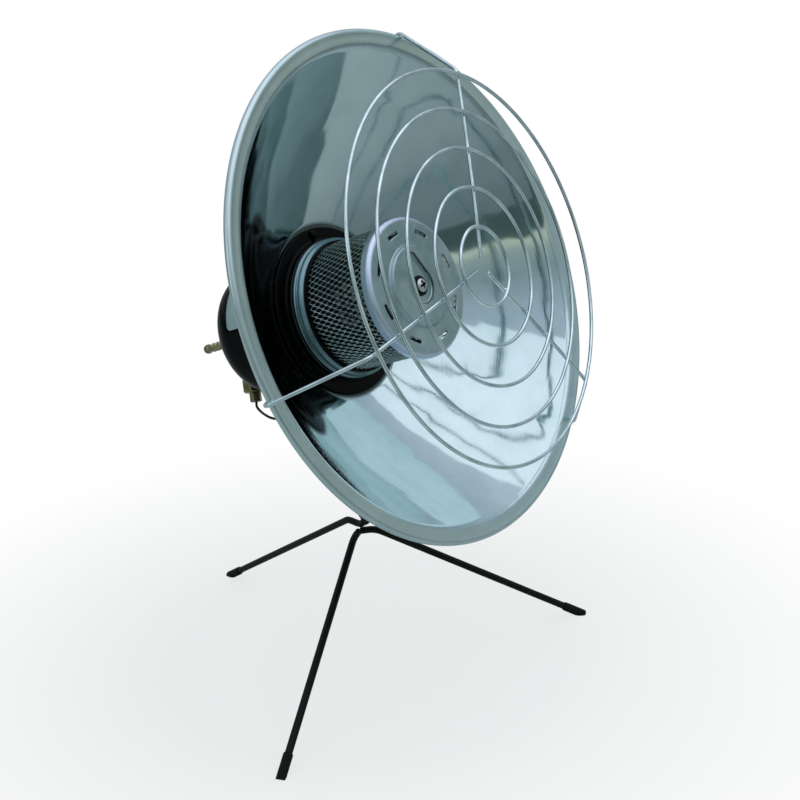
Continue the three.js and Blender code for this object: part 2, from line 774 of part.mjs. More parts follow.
// Least clear distance between turns, measured on the stations that are half a turn or more apart.
function leastSpringGap(stations) {
  let least = Infinity;
  for (let i = 0; i < stations.length; i += 1) {
    for (let k = i + spring.stepsPerTurn / 2; k < stations.length; k += 1) {
      least = Math.min(least, stations[i].distanceTo(stations[k]) - 2 * spring.wireRadius);
    }
  }
  return least;
}

function buttonSpring() {
  const stations = springStations();
  console.log(`button spring: least gap between turns ${leastSpringGap(stations).toFixed(2)} mm`);
  return wire(stations, spring.wireRadius, 5);
}

const magnetNutTop = bodyBottom - seatGap;
const magnetNutBottom = magnetNutTop - 12;
const leadNutTop = magnetNutBottom - seatGap;
const leadNutBottom = leadNutTop - 8;
const magnetNut = () => alongZ(hexNut(17, 2.6, magnetNutBottom, magnetNutTop));
const leadNut = () => alongZ(hexNut(9, leadRadius + seatGap, leadNutBottom, leadNutTop));

// Ring nut on the valve's front boss, inside the housing.
const bossNut = () => hexNut(20, bossRadius + seatGap,
  drumDepth - drumWall - seatGap - 3.4 - valveDepth, drumDepth - drumWall - seatGap - valveDepth);

// Injector: hexagonal root on the boss, tapered tip with its jet bore, looking into the tube's bell.
function injector() {
  const root = drumDepth - bossReach - seatGap - valveDepth;
  const hexagon = hexNut(10, 0, root - 5, root);
  const tip = rod(3, root - 12, root - 4, 16);
  const jet = rod(0.7, root - 20, root - 2, 8);
  return cut(join([hexagon, tip]), [jet]);
}

// Hose tail: flange held by the union nut, barbed stem, rounded mouth and a blind bore.
const tailFlange = 13.4 + seatGap;
const tailEnd = 55.5;
function hoseTail() {
  const barb = (start) => [[3.3, start], [4, start + 1], [3.3, start + 4]];
  return revolve([
    [0, tailFlange],
    [6, tailFlange],
    [6, tailFlange + 1.6],
    [3.3, tailFlange + 3],
    ...barb(tailEnd - 22),
    ...barb(tailEnd - 16),
    [3.3, tailEnd - 8],
    [4.1, tailEnd - 4.5],
    [3.8, tailEnd - 1.2],
    [2.9, tailEnd],
    [1.9, tailEnd],
    [1.9, tailFlange + 8],
    [0, tailFlange + 8],
  ], 12);
}

// Union nut: hexagon over the boss's thread, lip behind the tail's flange.
function unionNut() {
  const start = valveHalf + 1.6;
  const lip = tailFlange + 1.6 + seatGap + 1.4;
  const outside = hexNut(17, 0, start, lip + 1.6);
  return cut(outside, [rod(6.6 + seatGap, 0, lip - 0.4, 16), rod(3.9, 0, 40, 14)]);
}

// ---------------------------------------------------------------- thermocouple

const leadExit = new THREE.Vector3(0, 0, leadNutBottom - seatGap)
  .applyAxisAngle(new THREE.Vector3(0, 1, 0), valveTurn).add(new THREE.Vector3(0, valveDepth, 0));
const leadDown = new THREE.Vector3(0, 0, -1).applyAxisAngle(new THREE.Vector3(0, 1, 0), valveTurn);
const probeBack = burnerFloor - 4;
const probeLength = 24;

// Lead of the thermocouple: out of its nut, in an arc below the housing, through the dish to the probe.
function thermocoupleLead() {
  const crossing = polar(leadHoleRadius, probeAngle, bowlDepthAt(leadHoleRadius));
  const probeRear = polar(probeCircle, probeAngle, probeBack + seatGap);
  const route = new THREE.CatmullRomCurve3([
    leadExit,
    leadExit.clone().addScaledVector(leadDown, 4),
    new THREE.Vector3(-20, 196, -65.5),
    new THREE.Vector3(-19, 188, -71),
    new THREE.Vector3(-12, 177, -75),
    new THREE.Vector3(8, 160, -77),
    new THREE.Vector3(32, 140, -74),
    new THREE.Vector3(54, 122, -62),
    polar(leadHoleRadius, probeAngle, floorDepth + 12),
    crossing,
    polar(leadHoleRadius - 2, probeAngle, floorDepth - 7),
    polar(71, probeAngle, floorDepth - 8.4),
    polar(64.4, probeAngle, floorDepth - 9),
    polar(probeCircle + 0.4, probeAngle, probeBack + 5),
    probeRear,
  ], false, 'centripetal');
  return wire(route.getSpacedPoints(36), leadRadius, 8);
}

const probe = () => atPolar(revolve([
  [0, probeBack - probeLength],
  [probeRadius * 0.6, probeBack - probeLength + 0.5],
  [probeRadius, probeBack - probeLength + 2],
  [probeRadius, probeBack],
  [0, probeBack],
], 10), probeCircle, probeAngle);

// Clip under the lowest right floor screw: a foot, a riser beside the screw's head, and an arm that
// carries the band round the probe.
const clipSheet = 0.8;
function probeClip() {
  const foot = baseFlangeFront - seatGap;
  const bandDepth = probeBack - 7;
  const bandOuter = probeRadius + seatGap + 1;
  const screw = screwAngles[1];
  const riserRadius = clampFlange - 0.7;
  const strip = new THREE.BoxGeometry(8, clipSheet, 9)
    .translate(0, foot - clipSheet / 2, clampFlange - 4.7).rotateY(screw);
  const riserLength = foot - bandDepth + 2;
  const riser = new THREE.BoxGeometry(5, riserLength, 1)
    .translate(0, foot - riserLength / 2, riserRadius).rotateY(screw);
  const from = polar(riserRadius, screw, bandDepth);
  const to = polar(probeCircle, probeAngle, bandDepth);
  const armTurn = Math.atan2(to.x - from.x, to.z - from.z);
  const arm = new THREE.BoxGeometry(1.2, 4, from.distanceTo(to))
    .rotateY(armTurn).translate((from.x + to.x) / 2, bandDepth, (from.z + to.z) / 2);
  const band = atPolar(sleeve(bandOuter, probeRadius + seatGap, bandDepth - 2, bandDepth + 2, 14),
    probeCircle, probeAngle);
  const bore = atPolar(rod(probeRadius + seatGap, bandDepth - 10, bandDepth + 6, 14),
    probeCircle, probeAngle);
  const hole = atPolar(rod(screwRadius + seatGap, 0, 120, 10), screwCircle, screw);
  return cut(join([strip, riser, arm, band]), [bore, hole]);
}

// ---------------------------------------------------------------- stand

const legAngles = { right: legTurn, rear: legTurn + 120 * rad, left: legTurn + 240 * rad };
const standPoint = (radius, angle, height) =>
  new THREE.Vector3(radius * Math.sin(angle), -radius * Math.cos(angle), height);
const rearLegHeight = frontLegHeight + 2 * legRadius + seatGap;
const bootTop = bootLength - 1;

// The rod ends just above the floor, inside its boot.
const footPoint = (angle) => standPoint(footCircle, angle, legRadius + 0.6);

// Foot end of a leg, cut level so that it stands in its boot.
function frontLeg(angle) {
  const start = (legRadius + seatGap) / Math.tan(60 * rad);
  const corners = [
    standPoint(start, angle, frontLegHeight),
    standPoint(legLevel, angle, frontLegHeight),
    footPoint(angle),
  ];
  return wire(bend(corners, 8), legRadius, 10);
}

// The rear leg's rod lies over the front legs, turns up as the post and ends in a flattened eye.
function rearLeg() {
  const hinge = new THREE.Vector3(hingeSide, -hingeReach, hingeHeight);
  const corners = [
    footPoint(legAngles.rear),
    standPoint(legLevel, legAngles.rear, rearLegHeight),
    new THREE.Vector3(0, -3, rearLegHeight),
    hinge.clone().add(new THREE.Vector3(0, 9.2, -9.2)),
  ];
  const post = wire(bend(corners, 10), legRadius, 10);
  const eye = alongX(rod(eyeRadius - 1.5, -eyeSheet / 2, eyeSheet / 2, 20))
    .translate(hinge.x, hinge.y, hinge.z);
  const flat = new THREE.BoxGeometry(eyeSheet, 11, 14)
    .rotateX(45 * rad).translate(hinge.x, hinge.y + 7.8, hinge.z - 7.8);
  const bore = alongX(rod(boltRadius + boltFit, -20, 20, 16)).translate(0, hinge.y, hinge.z);
  return cut(join([post, eye, flat]), [bore]);
}

// Boot on a foot: it follows the leg's slope and is cut flat where it stands.
function footBoot(angle, topHeight) {
  const foot = footPoint(angle);
  const along = standPoint(legLevel, angle, topHeight).sub(foot).normalize();
  const sleeveLength = bootLength;
  const turn = new THREE.Quaternion().setFromUnitVectors(new THREE.Vector3(0, 1, 0), along);
  const place = (geometry) => geometry.applyQuaternion(turn).translate(foot.x, foot.y, foot.z);
  const body = place(revolve([
    [0, -8],
    [bootRadius, -8],
    [bootRadius, sleeveLength - 1],
    [bootRadius - 0.5, sleeveLength],
    [0, sleeveLength],
  ], 12));
  const bore = place(rod(legRadius + seatGap, -seatGap, sleeveLength + 2, 12));
  const below = new THREE.BoxGeometry(40, 40, 20).translate(foot.x, foot.y, -10);
  return cut(body, [bore, below]);
}

// ---------------------------------------------------------------- assembly

const heater = new THREE.Group();

const stand = new THREE.Group();
stand.add(
  piece('leg_rear', rearLeg(), blackPaint),
  piece('leg_left', frontLeg(legAngles.left), blackPaint),
  piece('leg_right', frontLeg(legAngles.right), blackPaint),
  piece('boot_rear', footBoot(legAngles.rear, rearLegHeight), rubber),
  piece('boot_left', footBoot(legAngles.left, frontLegHeight), rubber),
  piece('boot_right', footBoot(legAngles.right, frontLegHeight), rubber),
);

const hingeHardware = new THREE.Group();
hingeHardware.position.set(0, -hingeReach, hingeHeight);
hingeHardware.add(
  piece('tilt_bolt', tiltBolt(), plainSteel),
  piece('hinge_washer', hingeWasher(), plainSteel),
  piece('wing_nut', wingNut(), plainSteel),
);

const valve = new THREE.Group();
valve.position.set(0, valveDepth, 0);
valve.rotation.y = valveTurn;
valve.add(
  piece('valve_body', valveBody(), brass),
  piece('valve_bonnet', valveBonnet(), brass),
  piece('push_button', pushButton(), brass),
  piece('button_spring', buttonSpring(), plainSteel),
  piece('magnet_nut', magnetNut(), brass),
  piece('thermocouple_nut', leadNut(), brass),
  piece('boss_nut', bossNut(), brass),
  piece('injector', injector(), brass),
  piece('hose_tail', hoseTail(), brass),
  piece('union_nut', unionNut(), brass),
);

for (let index = 1; index <= ringCount; index += 1) {
  guardFrame.add(piece(`guard_ring_${index}`, guardRing(index), chromed));
}

const head = new THREE.Group();
head.position.set(0, -hingeDepth, hingeDrop);
head.add(
  piece('reflector', reflector(), polished),
  guardFrame,
  piece('guard_spoke_top', guardSpoke(guardTurn), chromed),
  piece('guard_spoke_right', guardSpoke(guardTurn + 120 * rad), chromed),
  piece('guard_spoke_left', guardSpoke(guardTurn + 240 * rad), chromed),
  piece('burner_base', burnerBase(), blackEnamel),
  piece('burner_mesh', perforatedCylinder(meshRadius, meshSheet, meshSpec), heatSteel),
  piece('burner_screen', perforatedCylinder(screenRadius, screenSheet, screenSpec), heatSteel),
  piece('burner_cap', burnerCap(), pressed),
  piece('cap_washer', capWasher(), chromed),
  piece('tie_screw', tieScrew(), plainSteel),
  piece('tie_nut', tieNut(), plainSteel),
  piece('diffuser', diffuser(), plainSteel),
  piece('mixing_tube', mixingTube(), plainSteel),
  piece('rear_housing', rearHousing(), blackEnamel),
  piece('label_plate', labelPlate(), plateSilver),
  piece('head_bracket', headBracket(), blackPaint),
  piece('bracket_rivet_left', bracketRivet(-1), plainSteel),
  piece('bracket_rivet_right', bracketRivet(1), plainSteel),
  piece('thermocouple_lead', thermocoupleLead(), blackSleeve),
  piece('thermocouple_probe', probe(), plainSteel),
  piece('probe_clip', probeClip(), plainSteel),
  valve,
);
screwAngles.forEach((angle, index) => {
  const underHead = index === 1 ? clipSheet + seatGap : 0;
  head.add(
    piece(`floor_screw_${index + 1}`, atPolar(floorScrew(underHead), screwCircle, angle), plainSteel),
    piece(`floor_nut_${index + 1}`, atPolar(floorNut(), screwCircle, angle), plainSteel),
  );
});

const tilting = new THREE.Group();
tilting.position.copy(hingeHardware.position);
tilting.rotation.x = -tilt;
tilting.add(head);

// The origin lies under the middle of the whole heater, on the floor.
heater.add(stand, hingeHardware, tilting);
heater.updateMatrixWorld(true);
const box = new THREE.Box3().setFromObject(heater, true);
heater.position.set(-(box.min.x + box.max.x) / 2, -(box.min.y + box.max.y) / 2, -box.min.z);

export default heater;
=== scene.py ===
import json
import math
import bpy
import numpy as np
from mathutils import Matrix, Vector


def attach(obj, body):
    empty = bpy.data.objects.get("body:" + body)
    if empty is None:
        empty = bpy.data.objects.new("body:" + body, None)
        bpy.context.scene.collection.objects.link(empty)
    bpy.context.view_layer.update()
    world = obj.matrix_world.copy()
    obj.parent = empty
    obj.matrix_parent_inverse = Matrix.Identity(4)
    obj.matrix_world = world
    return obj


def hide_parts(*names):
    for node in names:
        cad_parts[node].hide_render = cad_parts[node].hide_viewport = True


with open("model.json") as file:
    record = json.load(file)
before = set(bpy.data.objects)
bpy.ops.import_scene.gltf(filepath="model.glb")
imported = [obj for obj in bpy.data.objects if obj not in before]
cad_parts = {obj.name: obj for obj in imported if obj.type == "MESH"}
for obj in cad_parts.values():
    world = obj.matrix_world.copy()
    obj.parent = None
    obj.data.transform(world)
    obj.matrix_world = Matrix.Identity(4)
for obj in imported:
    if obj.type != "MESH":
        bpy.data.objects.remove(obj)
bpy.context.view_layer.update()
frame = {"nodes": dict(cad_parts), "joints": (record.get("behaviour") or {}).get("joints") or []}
print("frame loaded", len(frame["nodes"]), "nodes")

mm = 0.001

# The head tilts on the hinge bolt. Its own frame has the rim's centre as origin: x to the side, depth
# behind the rim plane, z towards the dish's top, all in millimetres.
head = {
    "hinge": next(joint["pos_m"] for joint in frame["joints"] if joint["name"] == "head_tilt"),
    "tilt": math.radians(20.7),
    "hingeDepth": 126,
    "hingeDrop": 167,
}
headTurn = Matrix.Rotation(-head["tilt"], 3, "X")
headOrigin = Vector(head["hinge"]) + headTurn @ Vector((0, -head["hingeDepth"], head["hingeDrop"])) * mm
turnArray = np.array(headTurn)
originArray = np.array(headOrigin)


def fromHead(points):
    # head frame in millimetres to the row frame in metres: turn by the tilt about X, then move to the rim
    return np.asarray(points) * mm @ turnArray.T + originArray


def polar(radius, angle, depth):
    # a point at a radius from the dish's axis, turned by angle from the top towards +X
    radius, angle, depth = np.broadcast_arrays(radius, angle, depth)
    return np.stack([radius * np.sin(angle), depth, radius * np.cos(angle)], -1).astype(float)



def meshObject(name, points, quads, material, smooth=True):
    # points and faces of one size go in as whole arrays
    mesh = bpy.data.meshes.new(name)
    mesh.vertices.add(len(points))
    mesh.vertices.foreach_set("co", np.ascontiguousarray(points, np.float32).ravel())
    mesh.loops.add(quads.size)
    mesh.loops.foreach_set("vertex_index", quads.ravel().astype(np.int32))
    mesh.polygons.add(len(quads))
    size = quads.shape[1]
    mesh.polygons.foreach_set("loop_start", np.arange(0, quads.size, size, dtype=np.int32))
    mesh.polygons.foreach_set("loop_total", np.full(len(quads), size, np.int32))
    mesh.polygons.foreach_set("use_smooth", np.full(len(quads), smooth))
    mesh.update(calc_edges=True)
    mesh.validate()
    mesh.materials.append(material)
    thing = bpy.data.objects.new(name, mesh)
    bpy.context.scene.collection.objects.link(thing)
    return thing


def gridQuads(rows, columns, wrapRows=False, wrapColumns=False):
    # quads of a rows by columns grid, closed round either way when asked
    r = np.arange(rows if wrapRows else rows - 1)
    c = np.arange(columns if wrapColumns else columns - 1)
    r, c = np.meshgrid(r, c, indexing="ij")
    nextR, nextC = (r + 1) % rows, (c + 1) % columns
    quads = np.stack([r * columns + c, nextR * columns + c, nextR * columns + nextC, r * columns + nextC], -1)
    return quads.reshape(-1, 4)


def gridObject(name, points, material, wrapRows=False, wrapColumns=False, flip=False, keep=None, smooth=True):
    # points is rows by columns by 3; keep says which cells stay
    rows, columns = points.shape[:2]
    quads = gridQuads(rows, columns, wrapRows, wrapColumns)
    if keep is not None:
        quads = quads[keep.ravel()]
    if flip:
        quads = quads[:, ::-1]
    return meshObject(name, points.reshape(-1, 3), quads, material, smooth)


def soften(profile, size, steps=4):
    # each corner of a closed profile becomes a quadratic curve from one side to the other
    corners = np.asarray(profile, float)
    sizes = np.broadcast_to(size, len(corners)).astype(float)
    before, after = np.roll(corners, 1, 0) - corners, np.roll(corners, -1, 0) - corners
    lengthBefore = np.linalg.norm(before, axis=1)
    lengthAfter = np.linalg.norm(after, axis=1)
    start = corners + before * (np.minimum(sizes, lengthBefore * 0.45) / lengthBefore)[:, None]
    end = corners + after * (np.minimum(sizes, lengthAfter * 0.45) / lengthAfter)[:, None]
    t = np.linspace(0, 1, steps)[None, :, None]
    curve = (1 - t) ** 2 * start[:, None] + 2 * t * (1 - t) * corners[:, None] + t ** 2 * end[:, None]
    return curve.reshape(-1, 2)


def arcPoints(radius, depth, size, start, end, steps):
    # stretch of a circle in a profile, angles in degrees from the outward direction towards the back
    angle = np.radians(np.linspace(start, end, steps))
    return np.stack([radius + size * np.cos(angle), depth + size * np.sin(angle)], -1)


def area(profile):
    # signed area, which tells the way round
    x, y = profile[:, 0], profile[:, 1]
    return 0.5 * np.sum(x * np.roll(y, -1) - np.roll(x, -1) * y)


def lathe(name, profile, material, around=128, place=fromHead):
    # a closed profile of radius and depth, carried round the axis
    profile = np.asarray(profile, float)
    angle = np.linspace(0, 2 * np.pi, around, endpoint=False)
    points = polar(profile[:, None, 0], angle[None, :], profile[:, None, 1])
    return gridObject(name, place(points), material, True, True, flip=area(profile) < 0)


def tube(name, path, radius, material, side, sides=16, place=fromHead, closed=False):
    # a round section carried along the path; side is a direction that the path never runs along
    path = np.asarray(path, float)
    radius = np.broadcast_to(radius, len(path)).astype(float)
    if closed:
        along = np.roll(path, -1, 0) - np.roll(path, 1, 0)
    else:
        along = np.gradient(path, axis=0)
        dome = np.radians(np.linspace(90, 15, 5))
        shrink, push = np.cos(dome), np.sin(dome)
        first, last = along[0] / np.linalg.norm(along[0]), along[-1] / np.linalg.norm(along[-1])
        start = path[0] - first * (push * radius[0])[:, None] * 0.6
        end = path[-1] + last * (push[::-1] * radius[-1])[:, None] * 0.6
        along = np.concatenate([np.tile(along[0], (5, 1)), along, np.tile(along[-1], (5, 1))])
        path = np.concatenate([start, path, end])
        radius = np.concatenate([shrink * radius[0] + 1e-4, radius, shrink[::-1] * radius[-1] + 1e-4])
    along = along / np.linalg.norm(along, axis=1)[:, None]
    across = np.cross(along, side)
    across /= np.linalg.norm(across, axis=1)[:, None]
    over = np.cross(across, along)
    turn = np.linspace(0, 2 * np.pi, sides, endpoint=False)
    ring = across[:, None] * np.cos(turn)[None, :, None] + over[:, None] * np.sin(turn)[None, :, None]
    points = path[:, None] + ring * radius[:, None, None]
    return gridObject(name, place(points), material, closed, True)


def bend(corners, size, steps=7):
    # a path through corner points, each inner corner rounded by a quadratic curve
    corners = np.asarray(corners, float)
    inner, before, after = corners[1:-1], corners[:-2] - corners[1:-1], corners[2:] - corners[1:-1]
    start = inner + before / np.linalg.norm(before, axis=1)[:, None] * size
    end = inner + after / np.linalg.norm(after, axis=1)[:, None] * size
    t = np.linspace(0, 1, steps)[None, :, None]
    curve = (1 - t) ** 2 * start[:, None] + 2 * t * (1 - t) * inner[:, None] + t ** 2 * end[:, None]
    return np.concatenate([corners[:1], curve.reshape(-1, 3), corners[-1:]])


def smoothPath(points, count):
    # a cubic through the points, evened out along its length
    points = np.asarray(points, float)
    gaps = np.linalg.norm(np.diff(points, axis=0), axis=1) ** 0.5
    knots = np.concatenate([[0], np.cumsum(gaps)])
    slope = np.gradient(points, knots, axis=0)
    t = np.linspace(0, knots[-1], count)
    i = np.clip(np.searchsorted(knots, t, side="right") - 1, 0, len(knots) - 2)
    width = (knots[i + 1] - knots[i])[:, None]
    s = ((t - knots[i]) / width[:, 0])[:, None]
    start, end = points[i], points[i + 1]
    return ((2 * s ** 3 - 3 * s ** 2 + 1) * start + (s ** 3 - 2 * s ** 2 + s) * width * slope[i]
            + (3 * s ** 2 - 2 * s ** 3) * end + (s ** 3 - s ** 2) * width * slope[i + 1])


def smoothStep(low, high, value):
    # 0 below low, 1 above high, 3t^2 - 2t^3 between
    t = np.clip((value - low) / (high - low), 0, 1)
    return t * t * (3 - 2 * t)


def finishPiece(thing, body, slot, *nodes):
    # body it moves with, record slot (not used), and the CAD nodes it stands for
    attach(thing, body)
    if nodes:
        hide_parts(*nodes)
    return thing


def thicken(thing, thickness, offset, even=True):
    wall = thing.modifiers.new("wall", "SOLIDIFY")
    wall.thickness = thickness * mm
    wall.offset = offset
    wall.use_even_offset = even
    return thing


def joinPieces(name, pieces):
    # several meshes become one, still unturned at the origin
    bpy.ops.object.select_all(action="DESELECT")
    for piece in pieces:
        piece.select_set(True)
    bpy.context.view_layer.objects.active = pieces[0]
    bpy.ops.object.join()
    pieces[0].name = name
    pieces[0].data.name = name
    return pieces[0]



def newMaterial(name):
    material = bpy.data.materials.new(name)
    material.use_nodes = True
    tree = material.node_tree
    return material, tree, tree.nodes["Principled BSDF"]


def headCoordinates(tree):
    # object coordinates turned into the head's own frame, in metres from the rim's centre
    coordinate = tree.nodes.new("ShaderNodeTexCoord")
    mapping = tree.nodes.new("ShaderNodeMapping")
    back = headTurn.transposed()
    mapping.inputs["Location"].default_value = -(back @ headOrigin)
    mapping.inputs["Rotation"].default_value = back.to_euler()
    tree.links.new(coordinate.outputs["Object"], mapping.inputs["Vector"])
    return mapping.outputs["Vector"]


def maths(tree, operation, first, second=None, third=None):
    node = tree.nodes.new("ShaderNodeMath")
    node.operation = operation
    for socket, value in zip(node.inputs, (first, second, third)):
        if value is None:
            continue
        if isinstance(value, (int, float)):
            socket.default_value = value
        else:
            tree.links.new(value, socket)
    return node.outputs[0]


def spunCoordinates(tree):
    # radius, angle and depth about the dish's axis, from x, depth and z
    parts = tree.nodes.new("ShaderNodeSeparateXYZ")
    tree.links.new(headCoordinates(tree), parts.inputs[0])
    x, depth, z = parts.outputs
    square = maths(tree, "ADD", maths(tree, "MULTIPLY", x, x), maths(tree, "MULTIPLY", z, z))
    radius = maths(tree, "SQRT", square)
    angle = maths(tree, "ARCTAN2", x, z)
    return radius, angle, depth


def combine(tree, x, y, z):
    node = tree.nodes.new("ShaderNodeCombineXYZ")
    for socket, value in zip(node.inputs, (x, y, z)):
        if isinstance(value, (int, float)):
            socket.default_value = value
        else:
            tree.links.new(value, socket)
    return node.outputs[0]


def noise(tree, vector, scale, detail=3.0, rough=0.5, distortion=0.0):
    node = tree.nodes.new("ShaderNodeTexNoise")
    node.inputs["Scale"].default_value = scale
    node.inputs["Detail"].default_value = detail
    node.inputs["Roughness"].default_value = rough
    node.inputs["Distortion"].default_value = distortion
    tree.links.new(vector, node.inputs["Vector"])
    return node.outputs["Fac"]


def ramp(tree, value, stops):
    node = tree.nodes.new("ShaderNodeValToRGB")
    elements = node.color_ramp.elements
    while len(elements) < len(stops):
        elements.new(0.5)
    for element, (position, color) in zip(elements, stops):
        element.position = position
        element.color = (*color, 1) if len(color) == 3 else color
    tree.links.new(value, node.inputs["Fac"])
    return node.outputs["Color"]


def spread(tree, value, low, high, fromLow=0.3, fromHigh=0.7):
    node = tree.nodes.new("ShaderNodeMapRange")
    node.inputs["From Min"].default_value = fromLow
    node.inputs["From Max"].default_value = fromHigh
    node.inputs["To Min"].default_value = low
    node.inputs["To Max"].default_value = high
    tree.links.new(value, node.inputs["Value"])
    return node.outputs["Result"]


def bump(tree, height, distance, strength, shader, below=None):
    node = tree.nodes.new("ShaderNodeBump")
    node.inputs["Distance"].default_value = distance
    node.inputs["Strength"].default_value = strength
    tree.links.new(height, node.inputs["Height"])
    if below is not None:
        tree.links.new(below, node.inputs["Normal"])
    tree.links.new(node.outputs["Normal"], shader.inputs["Normal"])
    return node.outputs["Normal"]


def grey(level):
    return (level, level, level)


def objectVector(tree):
    return tree.nodes.new("ShaderNodeTexCoord").outputs["Object"]


def polishedMaterial():
    # spun and polished sheet: faint turning marks round the axis, and a slow waviness that bends reflections
    material, tree, shader = newMaterial("polished")
    radius, angle, depth = spunCoordinates(tree)
    marks = noise(tree, combine(tree, maths(tree, "MULTIPLY", radius, 900), angle, depth), 1.0, 4)
    wave = noise(tree, objectVector(tree), 16, 1.5, 0.4, 0.6)
    smear = noise(tree, objectVector(tree), 34, 5, 0.6)
    color = ramp(tree, smear, [(0.3, (0.47, 0.60, 0.605)), (0.7, (0.55, 0.68, 0.69))])
    # painted shade: the dish's flat floor close round the burner is darkened to near black
    dishFloorShade = tree.nodes.new("ShaderNodeVectorMath")
    dishFloorShade.operation = "SCALE"
    tree.links.new(color, dishFloorShade.inputs[0])
    tree.links.new(spread(tree, radius, 0.12, 1, 0.0705, 0.0735), dishFloorShade.inputs["Scale"])
    tree.links.new(dishFloorShade.outputs["Vector"], shader.inputs["Base Color"])
    shader.inputs["Metallic"].default_value = 1
    # the flange was left with its satin finish, the bowl was polished
    satin = spread(tree, radius, 0, 0.26, 0.184, 0.190)
    rough = maths(tree, "ADD", spread(tree, smear, 0.035, 0.075), spread(tree, marks, 0, 0.03))
    tree.links.new(maths(tree, "ADD", rough, satin), shader.inputs["Roughness"])
    below = bump(tree, wave, 0.0025, 0.45, shader)
    bump(tree, marks, 0.00003, 0.3, shader, below)
    return material


def finishMaterial(name, slow, stops, fine, rough, relief, metallic=0.0, specular=0.5):
    # colour follows a slow noise by its stops; roughness and relief follow a fine one
    material, tree, shader = newMaterial(name)
    patch = noise(tree, objectVector(tree), *slow)
    grain = noise(tree, objectVector(tree), *fine)
    tree.links.new(ramp(tree, patch, stops), shader.inputs["Base Color"])
    tree.links.new(spread(tree, grain, *rough), shader.inputs["Roughness"])
    shader.inputs["Metallic"].default_value = metallic
    shader.inputs["Specular IOR Level"].default_value = specular
    bump(tree, grain, *relief, shader)
    return material


def pressedMaterial():
    # stainless pressing: rolled grain across the sheet, blotchy from heat
    material, tree, shader = newMaterial("pressedSheet")
    coordinate = headCoordinates(tree)
    stretch = tree.nodes.new("ShaderNodeMapping")
    stretch.inputs["Scale"].default_value = (900, 900, 60)
    tree.links.new(coordinate, stretch.inputs["Vector"])
    grain = noise(tree, stretch.outputs["Vector"], 1.0, 4, 0.6)
    blotch = noise(tree, coordinate, 42, 5, 0.62, 0.4)
    steel = ramp(tree, blotch, [(0.28, (0.24, 0.36, 0.38)), (0.5, (0.35, 0.48, 0.50)),
                                (0.74, (0.48, 0.61, 0.63))])
    # painted highlight: the rolled edge is given a paler blue colour
    radius = spunCoordinates(tree)[0]
    paintedEdgeHighlight = tree.nodes.new("ShaderNodeMix")
    paintedEdgeHighlight.data_type = "RGBA"
    tree.links.new(spread(tree, radius, 0, 1, 0.0512, 0.0535), paintedEdgeHighlight.inputs["Factor"])
    tree.links.new(steel, paintedEdgeHighlight.inputs[6])
    paintedEdgeHighlight.inputs[7].default_value = (0.60, 0.70, 0.82, 1)
    tree.links.new(paintedEdgeHighlight.outputs[2], shader.inputs["Base Color"])
    shader.inputs["Metallic"].default_value = 1
    rough = maths(tree, "ADD", spread(tree, blotch, 0.24, 0.40), spread(tree, grain, 0, 0.08))
    tree.links.new(rough, shader.inputs["Roughness"])
    below = bump(tree, blotch, 0.0008, 0.35, shader)
    bump(tree, grain, 0.00008, 0.4, shader, below)
    return material


def enamelMaterial(name, highlightLevel):
    # black enamel over pressed sheet: slight orange peel and a dusty bloom; with a highlight level above 0,
    # the collar's foremost rib gets a painted highlight, a teal metallic colour
    material, tree, shader = newMaterial(name)
    radius = spunCoordinates(tree)[0]
    peel = noise(tree, objectVector(tree), 520, 2, 0.5)
    dust = noise(tree, objectVector(tree), 28, 6, 0.65, 0.3)
    # painted highlight: a narrow band round the foremost rib's radius turns teal and metallic
    fromRib = maths(tree, "ABSOLUTE", maths(tree, "SUBTRACT", radius, 0.0556))
    paintedRib = spread(tree, fromRib, highlightLevel, 0, 0.0011, 0.0019)
    dustAndHighlight = maths(tree, "MULTIPLY_ADD", dust, 0.1, maths(tree, "MULTIPLY", paintedRib, 0.9))
    color = ramp(tree, dustAndHighlight, [(0.02, grey(0.0006)), (0.1, (0.0016, 0.0024, 0.0028)), (0.95, (0.20, 0.32, 0.36))])
    tree.links.new(color, shader.inputs["Base Color"])
    tree.links.new(paintedRib, shader.inputs["Metallic"])
    tree.links.new(spread(tree, dust, 0.16, 0.3), shader.inputs["Roughness"])
    shader.inputs["Specular IOR Level"].default_value = 0.07
    bump(tree, peel, 0.00004, 0.3, shader)
    return material


def brassMaterial():
    # turned brass, dulled and darker in the hollows
    material, tree, shader = newMaterial("turnedBrass")
    patina = noise(tree, objectVector(tree), 120, 6, 0.65, 0.4)
    fine = noise(tree, objectVector(tree), 1100, 3, 0.6)
    color = ramp(tree, patina, [(0.3, (0.11, 0.098, 0.05)), (0.5, (0.30, 0.27, 0.145)),
                                (0.75, (0.58, 0.53, 0.32))])
    tree.links.new(color, shader.inputs["Base Color"])
    shader.inputs["Metallic"].default_value = 1
    tree.links.new(spread(tree, patina, 0.42, 0.24), shader.inputs["Roughness"])
    bump(tree, fine, 0.00006, 0.5, shader)
    return material


